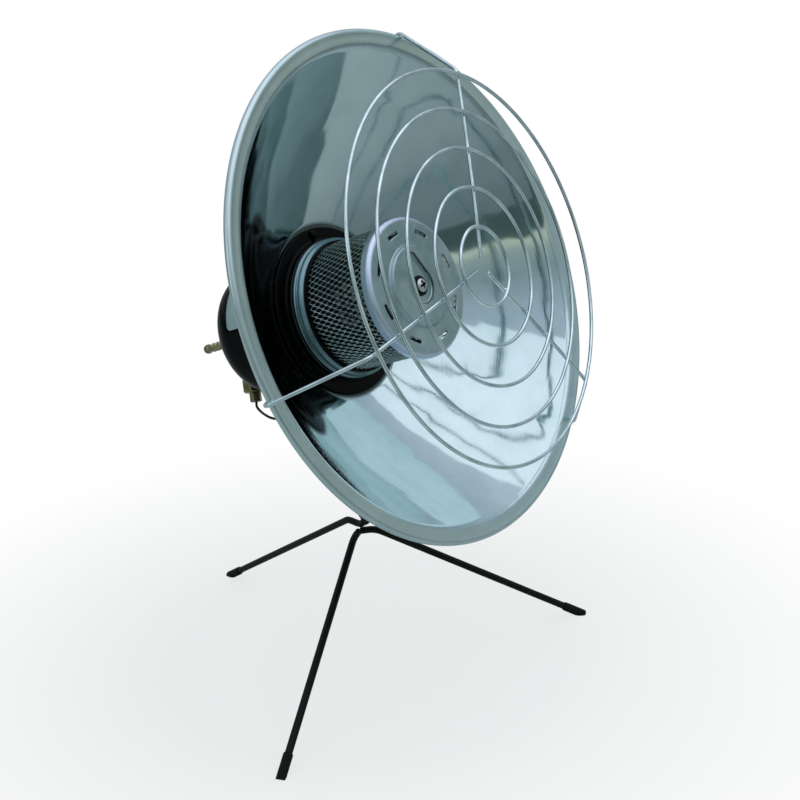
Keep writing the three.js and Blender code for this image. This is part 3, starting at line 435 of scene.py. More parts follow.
def plateMaterial():
    # blank silver plate with a fine lengthwise brushing
    material, tree, shader = newMaterial("silverPlate")
    coordinate = headCoordinates(tree)
    stretch = tree.nodes.new("ShaderNodeMapping")
    stretch.inputs["Scale"].default_value = (1400, 60, 1400)
    tree.links.new(coordinate, stretch.inputs["Vector"])
    brush = noise(tree, stretch.outputs["Vector"], 1.0, 4, 0.6)
    stain = noise(tree, coordinate, 60, 4, 0.6)
    color = ramp(tree, stain, [(0.3, (0.27, 0.39, 0.40)), (0.7, (0.42, 0.56, 0.57))])
    tree.links.new(color, shader.inputs["Base Color"])
    shader.inputs["Metallic"].default_value = 0.6
    tree.links.new(spread(tree, brush, 0.32, 0.5), shader.inputs["Roughness"])
    bump(tree, brush, 0.00005, 0.4, shader)
    return material


polished = polishedMaterial()
pressedSheet = pressedMaterial()
blackEnamel = enamelMaterial("blackEnamel", 0.0)
collarEnamel = enamelMaterial("collarEnamel", 0.9)
turnedBrass = brassMaterial()
silverPlate = plateMaterial()
# bright chromed wire with dull spots
chromedWire = finishMaterial("chromedWire", (60, 3, 0.5),
                             [(0.3, (0.46, 0.57, 0.59)), (0.65, (0.72, 0.84, 0.87))],
                             (420, 4, 0.6), (0.12, 0.24), (0.0001, 0.25), 1)
# painted shade: a darker pressing for the wall of the cap's recess
recessShade = finishMaterial("recessShade", (130, 5, 0.6),
                             [(0.3, (0.05, 0.075, 0.08)), (0.75, (0.13, 0.18, 0.19))],
                             (130, 5, 0.6), (0.5, 0.34), (0.0002, 0.3), 1)
# black powder coat, a little worn
blackPaint = finishMaterial("blackPaint", (45, 5, 0.6), [(0.4, grey(0.0006)), (0.8, grey(0.002))],
                            (900, 3, 0.6), (0.38, 0.58), (0.00025, 0.5), 0, 0.2)
# expanded sheet, oxidised in patches by the flame
heatedSteel = finishMaterial("heatedSteel", (36, 4, 0.6),
                             [(0.3, (0.36, 0.46, 0.45)), (0.7, (0.78, 0.90, 0.88))],
                             (260, 4, 0.6), (0.22, 0.42), (0.00015, 0.4), 1)
# inner screen, near black
nearBlackSteel = finishMaterial("nearBlackSteel", (90, 5, 0.6), [(0.3, grey(0.006)), (0.8, grey(0.02))],
                             (90, 5, 0.6), (0.7, 0.95), (0.0002, 0.3))
# zinc-plated fasteners
zincPlated = finishMaterial("zincPlated", (160, 3, 0.5), [(0.3, (0.48, 0.53, 0.53)), (0.7, (0.75, 0.80, 0.79))],
                            (700, 4, 0.6), (0.24, 0.42), (0.00008, 0.4), 1)
# sleeve of the thermocouple lead
blackSleeve = finishMaterial("blackSleeve", (800, 4, 0.6), [(0.3, grey(0.005)), (0.7, grey(0.016))],
                             (800, 4, 0.6), (0.4, 0.6), (0.0001, 0.3))
# moulded boots
bootRubber = finishMaterial("bootRubber", (600, 4, 0.6), [(0.3, grey(0.0015)), (0.7, grey(0.005))],
                            (600, 4, 0.6), (0.6, 0.85), (0.0001, 0.4), 0, 0.2)
print("materials ready")

dish = {
    "rim": 200,
    "bead": 3,
    "bowl": 187,
    "depth": 112,
    "floor": 71,
    "bore": 19,
    "sheet": 1.0,
    "around": 240,
}


def bowlDepth(radius):
    # paraboloid: the depth falls off with the square of the radius
    return dish["depth"] * (1 - (radius / dish["bowl"]) ** 2)


def makeDish():
    # spun section: flat floor, paraboloid, a soft turn into the flange, and the bead rolled over
    floorDepth = bowlDepth(dish["floor"])
    radius = np.linspace(dish["floor"] + 1.5, dish["bowl"] - 1.2, 60)
    slope = -2 * dish["depth"] * radius / dish["bowl"] ** 2
    normal = np.stack([-slope, np.ones_like(slope)], -1) / np.hypot(1, slope)[:, None]
    front = np.stack([radius, bowlDepth(radius)], -1)
    back = front + normal * dish["sheet"]
    beadCentre = dish["rim"] - dish["bead"]
    bead = arcPoints(beadCentre, dish["bead"] / 2, dish["bead"], -120, 130, 18)
    profile = np.concatenate([
        [[dish["bore"], floorDepth], [dish["floor"] - 1, floorDepth - 0.05]],
        front,
        [[dish["bowl"] + 1, 0.06], [beadCentre - 6, -0.25]],
        bead,
        [[beadCentre - 3.5, 1.4], [dish["bowl"] + 2, dish["sheet"]]],
        back[::-1],
        [[dish["floor"] - 1, floorDepth + dish["sheet"]], [dish["bore"], floorDepth + dish["sheet"]]],
    ])
    sheet = lathe("dish", profile, polished, dish["around"])
    return finishPiece(sheet, "head", "polished_aluminium", "reflector")


makeDish()
print("dish done")


guard = {
    "wire": 1.45,
    "pitch": 29.8,
    "rings": 5,
    "standoff": 54.5,
    "crown": 3.6,
    "leanX": math.radians(1.1),
    "leanZ": math.radians(2.2),
    "turn": math.radians(20),
    "spokeStart": 7.5,
    "overrun": 5,
    "weld": (1.9, 1.8, 1.9),
}
guardTurn = np.array(Matrix.Rotation(guard["leanX"], 3, "X") @ Matrix.Rotation(guard["leanZ"], 3, "Z"))


def fromGuard(points):
    # the guard leans a little on the dish
    return np.asarray(points) @ guardTurn.T + [0, -guard["standoff"], 0]


def guardCrown(radius):
    # the guard bulges forward by a parabola of the radius
    return -guard["crown"] * (1 - (radius / (guard["rings"] * guard["pitch"])) ** 2)


def makeRings():
    # circles at an even pitch, each a round wire
    for index in range(1, guard["rings"] + 1):
        radius = index * guard["pitch"]
        angle = np.linspace(0, 2 * np.pi, 60 + 30 * index, endpoint=False)
        # the wire is hand-bent, so the ring wanders by a few tenths
        wander = 0.25 * np.sin(3 * angle + index) + 0.15 * np.sin(7 * angle + 2 * index)
        path = fromGuard(polar(radius + wander * 0.6, angle, guardCrown(radius) + wander * 0.4))
        ring = tube(f"guardRing{index}", path, guard["wire"], chromedWire, (0, 1, 0), 14, closed=True)
        finishPiece(ring, "head", "chromed_wire", f"guard_ring_{index}")


def spokePath(angle):
    # out behind the rings, back to the rim, and round the bead
    outer = guard["rings"] * guard["pitch"]
    behind = 2 * guard["wire"] + 0.2
    radii = np.array([guard["spokeStart"], outer * 0.4, outer * 0.75, outer + guard["overrun"]])
    run = fromGuard(polar(radii, angle, guardCrown(radii) + behind))
    beadCentre = np.array([dish["rim"] - dish["bead"], dish["bead"] / 2])
    hookRadius = dish["bead"] + guard["wire"] + 0.3
    shoulder = np.array([math.hypot(run[-1][0], run[-1][2]), run[-1][1]])
    toCentre = beadCentre - shoulder
    touch = math.atan2(toCentre[1], toCentre[0]) + math.acos(hookRadius / np.linalg.norm(toCentre)) + math.pi
    turn = np.linspace(touch - 2 * math.pi, math.radians(100), 16)
    hook = beadCentre + hookRadius * np.stack([np.cos(turn), np.sin(turn)], -1)
    hookPoints = polar(hook[:, 0], angle, hook[:, 1])
    inner = bend(np.concatenate([run, hookPoints[:1]]), 5)
    return np.concatenate([inner[:-1], hookPoints])


def makeWelds(angle, label):
    # a squashed bead of metal at each crossing of spoke and ring
    pieces = []
    polarAngle = np.linspace(0, np.pi, 9)[:, None]
    around = np.linspace(0, 2 * np.pi, 14, endpoint=False)[None, :]
    ball = np.stack([np.sin(polarAngle) * np.cos(around), np.sin(polarAngle) * np.sin(around),
                     np.cos(polarAngle) * np.ones_like(around)], -1)
    for index in range(1, guard["rings"] + 1):
        radius = index * guard["pitch"]
        centre = fromGuard(polar(radius, angle, guardCrown(radius) + guard["wire"] + 0.1))
        bead = fromHead(centre + ball * guard["weld"])
        pieces.append(gridObject(f"weld{label}{index}", bead, chromedWire, False, True))
    return pieces


def makeSpokes():
    for label, degrees in (("top", 0), ("right", 120), ("left", 240)):
        angle = guard["turn"] + math.radians(degrees)
        sideways = (math.cos(angle), 0, -math.sin(angle))
        spoke = tube(f"guardSpoke_{label}", spokePath(angle), guard["wire"], chromedWire, sideways, 14)
        spoke = joinPieces(spoke.name, [spoke, *makeWelds(angle, label)])
        finishPiece(spoke, "head", "chromed_wire", f"guard_spoke_{label}")


makeRings()
makeSpokes()
print("guard done")


burner = {
    "back": 82,
    "capDepth": 8,
    "meshRadius": 52,
    "meshFront": 10.2,
    "cellLength": 8.6,
    "cellsAround": 68,
    "openLength": 3.55,
    "openWidth": 1.72,
    "twist": 0.7,
    "collar": 57.5,
    "flange": 69,
    "screwCircle": 63.5,
    "strand": 0.6,
}


def makeBase():
    # pressed tray and collar, turned from one closed profile
    back = bowlDepth(dish["floor"]) - 0.3
    front = back - 1.4
    lipInner = burner["meshRadius"] + 0.3
    lipOuter = lipInner + 1.4
    depth, collar = burner["back"], burner["collar"]
    # lip round the mesh, two ribs, the collar and its flange, then back along the inside
    outside = [
        [14.3, depth], [lipInner, depth], [lipInner, depth - 6], [lipOuter, depth - 6], [lipOuter, depth - 3.2],
        [lipOuter + 3, depth - 1.4], [lipOuter + 3.1, depth + 1], [lipOuter + 0.8, depth + 2.6],
        [lipOuter + 1.2, depth + 3.6], [collar + 0.9, depth + 5.2], [collar - 0.6, depth + 6.8],
        [collar + 0.3, depth + 8], [collar + 0.2, front - 1],
        [collar + 2.2, front], [burner["flange"] - 1, front], [burner["flange"], front + 0.6],
        [burner["flange"], back], [56.1, back], [55.1, depth + 6], [lipInner, depth + 1.4], [14.3, depth + 1.4],
    ]
    base = lathe("burnerBase", soften(outside, 0.7), collarEnamel, 160)
    return finishPiece(base, "head", "black_enamel", "burner_base")


def makeMesh():
    # expanded sheet: each cell is a diamond hole in a rectangle, laid in staggered rows round the cylinder,
    # and the strands rise and fall so that each stands on edge
    around, length = burner["cellsAround"], burner["cellLength"]
    front, back = burner["meshFront"] + 1.5, burner["back"] - 1.5
    rows = int((back - front) / (length / 2))
    halfWidth = np.pi * burner["meshRadius"] / around
    turn = np.radians(np.arange(0, 360, 30))
    power = 0.72
    hole = np.stack([burner["openWidth"] * np.sign(np.cos(turn)) * np.abs(np.cos(turn)) ** (1 / power),
                     burner["openLength"] * np.sign(np.sin(turn)) * np.abs(np.sin(turn)) ** (1 / power)], -1)
    # the cell's outline is a diamond too, so that staggered cells share it
    outline = np.stack([np.cos(turn), np.sin(turn)], -1)
    reach = np.abs(outline[:, 0]) / halfWidth + np.abs(outline[:, 1]) / (length / 2)
    outline = outline / reach[:, None]
    row, column = np.meshgrid(np.arange(rows + 1), np.arange(around), indexing="ij")
    centreAcross = (column + 0.5 * (row % 2)) * 2 * halfWidth
    centreAlong = front + row * length / 2
    rings = np.stack([hole, outline])
    across = centreAcross[..., None, None] + rings[None, None, ..., 0]
    along = centreAlong[..., None, None] + rings[None, None, ..., 1]
    rise = burner["twist"] * np.sin(np.pi * across / halfWidth) * np.cos(2 * np.pi * (along - front) / length)
    radius = burner["meshRadius"] - 0.75 + rise
    along = np.clip(along, front, back)
    points = polar(radius, across / burner["meshRadius"], along)
    count = len(turn)
    k = np.arange(count)
    cell = np.stack([k, (k + 1) % count, count + (k + 1) % count, count + k], -1)
    cells = (np.arange(row.size) * 2 * count)[:, None, None] + cell[None]
    thing = meshObject("burnerMesh", fromHead(points.reshape(-1, 3)), cells.reshape(-1, 4), heatedSteel)
    weld = thing.modifiers.new("weld", "WELD")
    weld.merge_threshold = 0.00003
    thicken(thing, burner["strand"], 0, even=False)
    bands = []
    for bandFront, bandBack in ((burner["meshFront"], front + 0.5), (back - 0.5, burner["back"] - 0.4)):
        outer = burner["meshRadius"] - 0.02
        profile = [[outer - 0.8, bandFront], [outer, bandFront], [outer, bandBack], [outer - 0.8, bandBack]]
        bands.append(lathe("band", profile, heatedSteel, 120))
    bpy.context.view_layer.objects.active = thing
    for modifier in list(thing.modifiers):
        bpy.ops.object.select_all(action="DESELECT")
        thing.select_set(True)
        bpy.ops.object.modifier_apply(modifier=modifier.name)
    return finishPiece(joinPieces("burnerMesh", [thing, *bands]), "head", "heat_steel", "burner_mesh")


screen = {
    "radius": 42.8,
    "front": 9.8,
    "rows": 9,
    "around": 36,
    "fine": 8,
}


def makeScreen():
    # inner cylinder; each hole is what lies within a circle in its own block of fine cells, and every
    # other row is shifted by half a block
    fine = screen["fine"]
    fineAlong = np.linspace(screen["front"], burner["back"] - 0.5, screen["rows"] * fine + 1)
    fineAround = np.linspace(0, 2 * np.pi, screen["around"] * fine, endpoint=False)
    points = polar(screen["radius"], fineAround[None, :], fineAlong[:, None])
    row, column = np.meshgrid(np.arange(screen["rows"] * fine), np.arange(screen["around"] * fine), indexing="ij")
    cellAlong, cellAround = row % fine, (column + fine // 2 * (row // fine % 2)) % fine
    keep = (cellAlong - 3.5) ** 2 + (cellAround - 3.5) ** 2 > 7
    cylinder = gridObject("burnerScreen", fromHead(points), nearBlackSteel, False, True, keep=keep)
    thicken(cylinder, 0.7, 0)
    return finishPiece(cylinder, "head", "heat_steel", "burner_screen")


cap = {
    "radius": 56,
    "disc": 33,
    "rise": 3.4,
    "edge": 4.5,
    "skirt": 8,
    "sheet": 1.2,
    "vents": 8,
    "ventRadius": 44,
    "ventLength": 13,
    "ventWidth": 3.1,
    "ventTurn": math.radians(32),
    "recess": 2.3,
    "recessRadius": 14,
    "tailRadius": 4,
    "tail": 22,
}


def teardropDistance(x, z):
    # signed distance to a round that tapers to a smaller round above it
    x = np.abs(x)
    lean = (cap["recessRadius"] - cap["tailRadius"]) / cap["tail"]
    height = math.sqrt(1 - lean * lean)
    k = -lean * x + height * z
    belowRound = np.hypot(x, z) - cap["recessRadius"]
    aboveRound = np.hypot(x, z - cap["tail"]) - cap["tailRadius"]
    side = height * x + lean * z - cap["recessRadius"]
    return np.where(k < 0, belowRound, np.where(k > height * cap["tail"], aboveRound, side))


def makeCap():
    # disc, pressed step, outer ring, rolled edge and skirt, with the teardrop seat sunk into the middle
    half = cap["ventWidth"] / 2
    ventAngle = cap["ventLength"] / 2 / cap["ventRadius"]
    flat = np.concatenate([
        np.linspace(3.4, cap["disc"] + 2, 76),
        np.linspace(cap["disc"] + 2.6, cap["ventRadius"] - half, 8),
        np.linspace(cap["ventRadius"] - half + 0.5, cap["ventRadius"] + half, 5),
        np.linspace(cap["ventRadius"] + half + 0.8, cap["radius"] - cap["edge"], 8),
    ])
    edgeDepth = burner["capDepth"] + cap["edge"]
    rolled = arcPoints(cap["radius"] - cap["edge"], edgeDepth, cap["edge"], -90, 0, 10)[1:]
    skirtDepth = np.linspace(edgeDepth + 2, burner["capDepth"] + cap["skirt"], 4)
    skirt = np.stack([np.full(4, cap["radius"]), skirtDepth], -1)
    radius = np.concatenate([flat, rolled[:, 0], skirt[:, 0]])
    step = smoothStep(cap["disc"] - 1.8, cap["disc"] + 0.6, flat)
    flatDepth = burner["capDepth"] - cap["rise"] * (1 - step)
    depth = np.concatenate([flatDepth, rolled[:, 1], skirt[:, 1]])
    # columns stand on both ends of every vent: ten cells across it, the rest between it and the next
    perVent, inside = 36, 10
    share = 2 * np.pi / cap["vents"]
    local = np.concatenate([np.linspace(-ventAngle, ventAngle, inside + 1),
                            np.linspace(ventAngle, share - ventAngle, perVent - inside)[1:-1]])
    angle = (cap["ventTurn"] + np.arange(cap["vents"])[:, None] * share + local[None]).ravel()
    points = polar(radius[:, None], angle[None, :], depth[:, None])
    x, z = points[..., 0], points[..., 2]
    sink = 1 - smoothStep(-0.55, 0.55, teardropDistance(x, z))
    points[..., 1] += cap["recess"] * sink
    # the pressing is a little uneven
    points[..., 1] += 0.12 * np.sin(x * 0.21 + 1) * np.sin(z * 0.17) * (radius[:, None] < cap["disc"])
    middleRadius = (radius[:-1] + radius[1:]) / 2
    inBand = (np.abs(middleRadius - cap["ventRadius"]) < half)[:, None]
    inVent = (np.arange(len(angle)) % len(local) < inside)[None, :]
    keep = ~(inBand & inVent)
    thing = gridObject("burnerCap", fromHead(points), pressedSheet, False, True, flip=True, keep=keep)
    # painted shade: the recess's wall takes the darker pressing
    thing.data.materials.append(recessShade)
    onWall = (np.abs(teardropDistance(x, z) - 0.1) < 0.55)[:-1] & (radius[:-1, None] < cap["disc"])
    thing.data.polygons.foreach_set("material_index", onWall[keep].astype(np.int32))
    thicken(thing, cap["sheet"], -1)
    return finishPiece(thing, "head", "pressed_steel", "burner_cap")


seat = burner["capDepth"] - cap["rise"] + cap["recess"]


def makeWasher():
    # flat ring on the recess's floor, in black paint as painted shade: it stands for the dark ring round the
    # screw head
    profile = [[2.9, seat - 1.25], [8, seat - 1.25], [8, seat - 0.3], [2.9, seat - 0.3]]
    washer = lathe("capWasher", soften(profile, 0.25), blackPaint, 64)
    return finishPiece(washer, "head", "plain_steel", "cap_washer")


def crossDistance(x, z, length, width):
    # distance outside a plus sign of two bars
    x, z = np.abs(x), np.abs(z)
    return np.minimum(np.maximum(x - length, z - width), np.maximum(x - width, z - length))


tieScrew = {
    "head": 5.4,
    "rise": 3.2,
    "shank": 2.5,
    "crossLength": 3.5,
    "crossWidth": 0.95,
    "crossDepth": 2.3,
    "crossTurn": math.radians(12),
}


def makeTieScrew():
    # domed head with a crossed recess, and its shank through the burner
    under = seat - 1.6
    radius = np.linspace(0.001, tieScrew["head"], 40)
    angle = np.linspace(0, 2 * np.pi, 96, endpoint=False)
    dome = under - tieScrew["rise"] * np.sqrt(1 - (radius / (tieScrew["head"] + 0.2)) ** 2) ** 0.8
    points = polar(radius[:, None], angle[None], dome[:, None])
    cosine, sine = math.cos(tieScrew["crossTurn"]), math.sin(tieScrew["crossTurn"])
    x = points[..., 0] * cosine + points[..., 2] * sine
    z = points[..., 2] * cosine - points[..., 0] * sine
    toCross = crossDistance(x, z, tieScrew["crossLength"], tieScrew["crossWidth"])
    points[..., 1] += tieScrew["crossDepth"] * (1 - smoothStep(-0.25, 0.25, toCross))
    end, shaft = burner["back"] + 9.8, tieScrew["shank"]
    rest = np.array([[tieScrew["head"], under], [shaft, under], [shaft, end - 0.5], [2.0, end], [0.001, end]])
    shank = polar(rest[:, None, 0], angle[None], rest[:, None, 1])
    whole = fromHead(np.concatenate([points, shank]))
    thing = gridObject("tieScrew", whole, zincPlated, False, True, flip=True)
    # painted shade: the cross recess takes the black paint
    thing.data.materials.append(blackPaint)
    inside = (toCross < 0)[:-1].ravel()
    slots = np.concatenate([inside, np.zeros(len(thing.data.polygons) - len(inside), bool)]).astype(np.int32)
    thing.data.polygons.foreach_set("material_index", slots)
    return finishPiece(thing, "head", "plain_steel", "tie_screw")


def makeFloorScrews():
    # three domed screws through collar, dish and drum; the second also holds the probe's clip
    for index in range(3):
        angle = math.radians(120 * index)
        under = bowlDepth(dish["floor"]) - 0.3 - 1.4 - 0.3 - (1.1 if index == 1 else 0)
        tip = bowlDepth(dish["floor"]) + dish["sheet"] + 0.6 + 1.5 + 5
        profile = soften([[0.001, under - 2.6], [1.2, under - 2.55], [3.2, under - 1.9], [3.8, under - 0.4],
                          [3.7, under], [2, under], [2, tip - 0.4], [1.6, tip], [0.001, tip]], 0.2)
        centre = polar(burner["screwCircle"], angle, 0)
        screw = lathe(f"floorScrew{index + 1}", profile, blackEnamel, 40,
                      place=lambda points, centre=centre: fromHead(points + centre))
        finishPiece(screw, "head", "black_enamel", f"floor_screw_{index + 1}")


makeBase()
makeMesh()
makeScreen()
makeCap()
makeWasher()
makeTieScrew()
makeFloorScrews()
print("burner done")


housing = {
    "radius": 55,
    "wall": 1.5,
    "back": 195,
    "corner": 24,
    "boss": 8.3,
    "slots": 8,
    "slotOuter": 30.5,
    "slotInner": 19.5,
    "slotTurn": math.radians(-5),
}


def makeHousing():
    # drum with a rounded back edge: outside profile only, opened at the air slots, then given its wall
    front = bowlDepth(dish["floor"]) + dish["sheet"] + 0.3
    radius, flange, fold = housing["radius"], burner["flange"], front + housing["wall"]
    cornerDepth = housing["back"] - housing["corner"]
    corner = arcPoints(radius - housing["corner"], cornerDepth, housing["corner"], 0, 90, 26)
    back = np.array([housing["slotOuter"], 27, 23, housing["slotInner"], 16, 12, housing["boss"]])
    profile = np.concatenate([
        [[flange, front + 0.05], [flange, front + 1.2], [flange - 0.4, fold],
         [radius + 1.2, fold], [radius + 0.3, fold + 0.3], [radius, fold + 1.2]],
        np.stack([np.full(12, radius), np.linspace(front + 6, cornerDepth - 2, 12)], -1),
        corner,
        np.stack([back, np.full(len(back), housing["back"])], -1),
    ])
    perSlot, inside = 26, 5
    angle = np.linspace(0, 2 * np.pi, housing["slots"] * perSlot, endpoint=False) + housing["slotTurn"]
    points = polar(profile[:, None, 0], angle[None], profile[:, None, 1])
    middle = (profile[:-1, 0] + profile[1:, 0]) / 2
    flat = profile[:-1, 1] > housing["back"] - 0.5
    rows = flat & (middle < housing["slotOuter"]) & (middle > housing["slotInner"])
    inSlot = rows[:, None] & (np.arange(len(angle)) % perSlot < inside)[None]
    drum = gridObject("rearHousing", fromHead(points), blackEnamel, False, True, flip=True, keep=~inSlot)
    thicken(drum, housing["wall"] - 0.1, -1)
    return finishPiece(drum, "head", "black_enamel", "rear_housing")


label = {
    "front": 124,
    "length": 44,
    "width": 48,
    "start": 283,
    "sweep": 50,
    "corner": 2.5,
}


def makeLabel():
    # blank plate bent round the drum, with rounded corners and a rolled border
    across, along = np.meshgrid(np.linspace(0, 1, 61), np.linspace(0, 1, 53), indexing="ij")
    angle = np.radians(label["start"] + label["sweep"] * across)
    depth = label["front"] + label["length"] * along
    fromSide = np.minimum(across, 1 - across) * label["width"]
    fromEnd = np.minimum(along, 1 - along) * label["length"]
    border = 0.12 * np.exp(-((np.minimum(fromSide, fromEnd) - 1.6) / 0.5) ** 2)
    toCorner = np.hypot(np.maximum(label["corner"] - fromSide, 0), np.maximum(label["corner"] - fromEnd, 0))
    keepPoint = toCorner < label["corner"] + 0.1
    points = polar(housing["radius"] + 0.75 + border, angle, depth)
    keep = keepPoint[:-1, :-1] & keepPoint[1:, :-1] & keepPoint[:-1, 1:] & keepPoint[1:, 1:]
    plate = gridObject("labelPlate", fromHead(points), silverPlate, keep=keep)
    thicken(plate, 0.4, -1)
    return finishPiece(plate, "head", "silver_plate", "label_plate")


makeHousing()
makeLabel()
print("housing done")


# the valve's own frame has z to the button and is turned about the dish's axis
valve = {
    "depth": 204,
    "turn": math.radians(17),
}
valveTurn = np.array(Matrix.Rotation(valve["turn"], 3, "Y"))


def fromValve(points):
    # the valve's frame in the head's: turned about the axis and set back to its depth
    return fromHead(np.asarray(points) @ valveTurn.T + [0, valve["depth"], 0])


def upright(points):
    # a lathe's depth becomes the valve's z
    points = np.asarray(points)
    return fromValve(np.stack([points[..., 0], -points[..., 2], points[..., 1]], -1))


def hexagonRadius(angle, acrossFlats):
    # distance to the side of a hexagon at an angle
    return acrossFlats / 2 / np.cos((angle + math.pi / 6) % (math.pi / 3) - math.pi / 6)


def hexNut(name, acrossFlats, bore, start, end, place, turned=math.pi / 6):
    # hexagon with its corners turned off at both ends and a countersunk bore
    angle = np.linspace(0, 2 * np.pi, 120, endpoint=False)
    hexagon = hexagonRadius(angle + turned, acrossFlats)
    cone = acrossFlats / 2 * 0.96
    drop = np.clip((hexagon - cone) * 0.5, 0, None)
    inner = np.full_like(angle, max(bore, 0.001))
    rows = [
        (inner, np.full_like(angle, start + (0.5 if bore > 0 else 0))),
        (inner + (0.5 if bore > 0 else 0), np.full_like(angle, start)),
        (np.minimum(hexagon, cone), np.full_like(angle, start)),
        (hexagon, start + drop + 0.05),
        (hexagon, end - drop - 0.05),
        (np.minimum(hexagon, cone), np.full_like(angle, end)),
        (inner + (0.5 if bore > 0 else 0), np.full_like(angle, end)),
        (inner, np.full_like(angle, end - (0.5 if bore > 0 else 0))),
    ]
    points = np.stack([polar(radius, angle, depth) for radius, depth in rows])
    return gridObject(name, place(points), turnedBrass, bore > 0, True, smooth=False)


def thread(start, end, radius, pitch):
    # ridges of a thread in a profile
    turns = int((end - start) / pitch)
    depth = start + np.arange(2 * turns + 1) * pitch / 2
    return np.stack([radius - 0.35 * (np.arange(2 * turns + 1) % 2), depth], -1)


def makeValve():
    # hexagon body with threaded stubs, bonnet under the button, nuts below and behind
    body = [
        hexNut("valveHex", 16, 0, -22, 14, upright),
        lathe("valveFoot", np.concatenate([[[0.001, -35.6], [5.8, -35.6]], thread(-35.2, -24, 6.6, 1.0),
                                           [[6.6, -21.5], [0.001, -21.5]]]), turnedBrass, 64, upright),
        lathe("valveBoss", np.concatenate([[[0.001, -17]], [[7.4, -17]], thread(-16.5, -9.5, 8, 1.0),
                                           [[8, -8.7], [11, -8.7], [11, -7.6], [7, -5], [0.001, -5]]]),
              turnedBrass, 64, fromValve),
        lathe("valveInlet", np.concatenate([[[0.001, 5], [7.2, 5], [7.4, 8.6], [5.9, 9]],
                                            thread(9.2, 13, 6.6, 1.0), [[0.001, 13.3]]]),
              turnedBrass, 64, fromValve),
    ]
    finishPiece(joinPieces("valveBody", body), "head", "brass", "valve_body")
    bonnet = [
        hexNut("bonnetHex", 14, 0, 14.3, 27, upright),
        lathe("bonnetNeck", [[2.3, 26.5], [3.6, 26.5], [3.6, 33.6], [3.3, 34], [2.3, 34]],
              turnedBrass, 48, upright),
    ]
    finishPiece(joinPieces("valveBonnet", bonnet), "head", "brass", "valve_bonnet")
    finishPiece(hexNut("magnetNut", 17, 2.6, -47.9, -35.9, upright), "head", "brass", "magnet_nut")
    finishPiece(hexNut("thermocoupleNut", 9, 1.4, -56.2, -48.2, upright), "head", "brass", "thermocouple_nut")
    union = hexNut("unionNut", 17, 6.9, 9.6, 18.6, fromValve)
    lip = lathe("unionLip", [[3.9, 15.9], [7.4, 15.9], [7.4, 18.3], [3.9, 18.3]], turnedBrass, 64, fromValve)
    finishPiece(joinPieces("unionNut", [union, lip]), "head", "brass", "union_nut")


def makeHoseTail():
    # three barbs in a row behind a collar, then the rounded tip and the bore
    barbs = np.concatenate([[[3.3, start], [4.05, start + 0.9], [3.95, start + 1.3], [3.3, start + 4.4]]
                            for start in (33.5, 38.5, 43.5)])
    profile = np.concatenate([
        [[0.001, 13.7], [6, 13.7], [6, 15.3], [3.5, 16.4], [3.3, 18]],
        barbs,
        [[3.3, 49], [4.1, 51], [4.1, 53], [3.7, 54.6], [2.9, 55.5], [2.1, 55.5]],
        [[1.9, 55], [1.9, 30], [0.001, 30]],
    ])
    tail = lathe("hoseTail", soften(profile, 0.25, 3), turnedBrass, 64, fromValve)
    finishPiece(tail, "head", "brass", "hose_tail")


def makeButton():
    # skirted button: fine knurl round its side, a slightly hollow top
    angle = np.linspace(0, 2 * np.pi, 192, endpoint=False)
    knurl = 0.14 * np.cos(48 * angle)
    # radius, height and how much of the knurl each row takes
    rows = [(0.001, 3.2, 0), (2, 3.2, 0), (2, 42.5, 0), (7.3, 42.5, 0), (7.3, 33.1, 0), (8.2, 33, 0),
            (8.3, 33.6, 1), (8.3, 42.6, 1), (8.2, 43.6, 0), (7.4, 44.7, 0), (6.4, 45, 0), (4, 44.8, 0),
            (0.001, 44.7, 0)]
    points = np.stack([polar(radius + knurl * rough, angle, depth) for radius, depth, rough in rows])
    button = gridObject("pushButton", upright(points), turnedBrass, False, True)
    finishPiece(button, "push_button", "brass", "push_button")


spring = {
    "turns": 7,
    "radius": 5.8,
    "wire": 0.45,
    "start": 27.8,
    "end": 41.7,
}


def makeSpring():
    # helix whose pitch closes up at both ends
    t = np.linspace(0, 1, spring["turns"] * 32)
    rise = smoothStep(-0.12, 1.12, t)
    rise = (rise - rise[0]) / (rise[-1] - rise[0])
    height = spring["start"] + (spring["end"] - spring["start"]) * rise
    angle = 2 * np.pi * spring["turns"] * t
    path = np.stack([spring["radius"] * np.cos(angle), spring["radius"] * np.sin(angle), height], -1)
    coil = tube("buttonSpring", path, spring["wire"], zincPlated, (0, 0, 1), 10, place=fromValve)
    finishPiece(coil, "head", "plain_steel", "button_spring")


makeValve()
makeHoseTail()
makeButton()
makeSpring()
print("valve done")


# thermocouple lead, held at both ends
lead = {
    "radius": 1.1,
    "holeRadius": 79,
    "probeAngle": math.radians(126),
    "probeCircle": 60.5,
    "probeBack": 78,
}


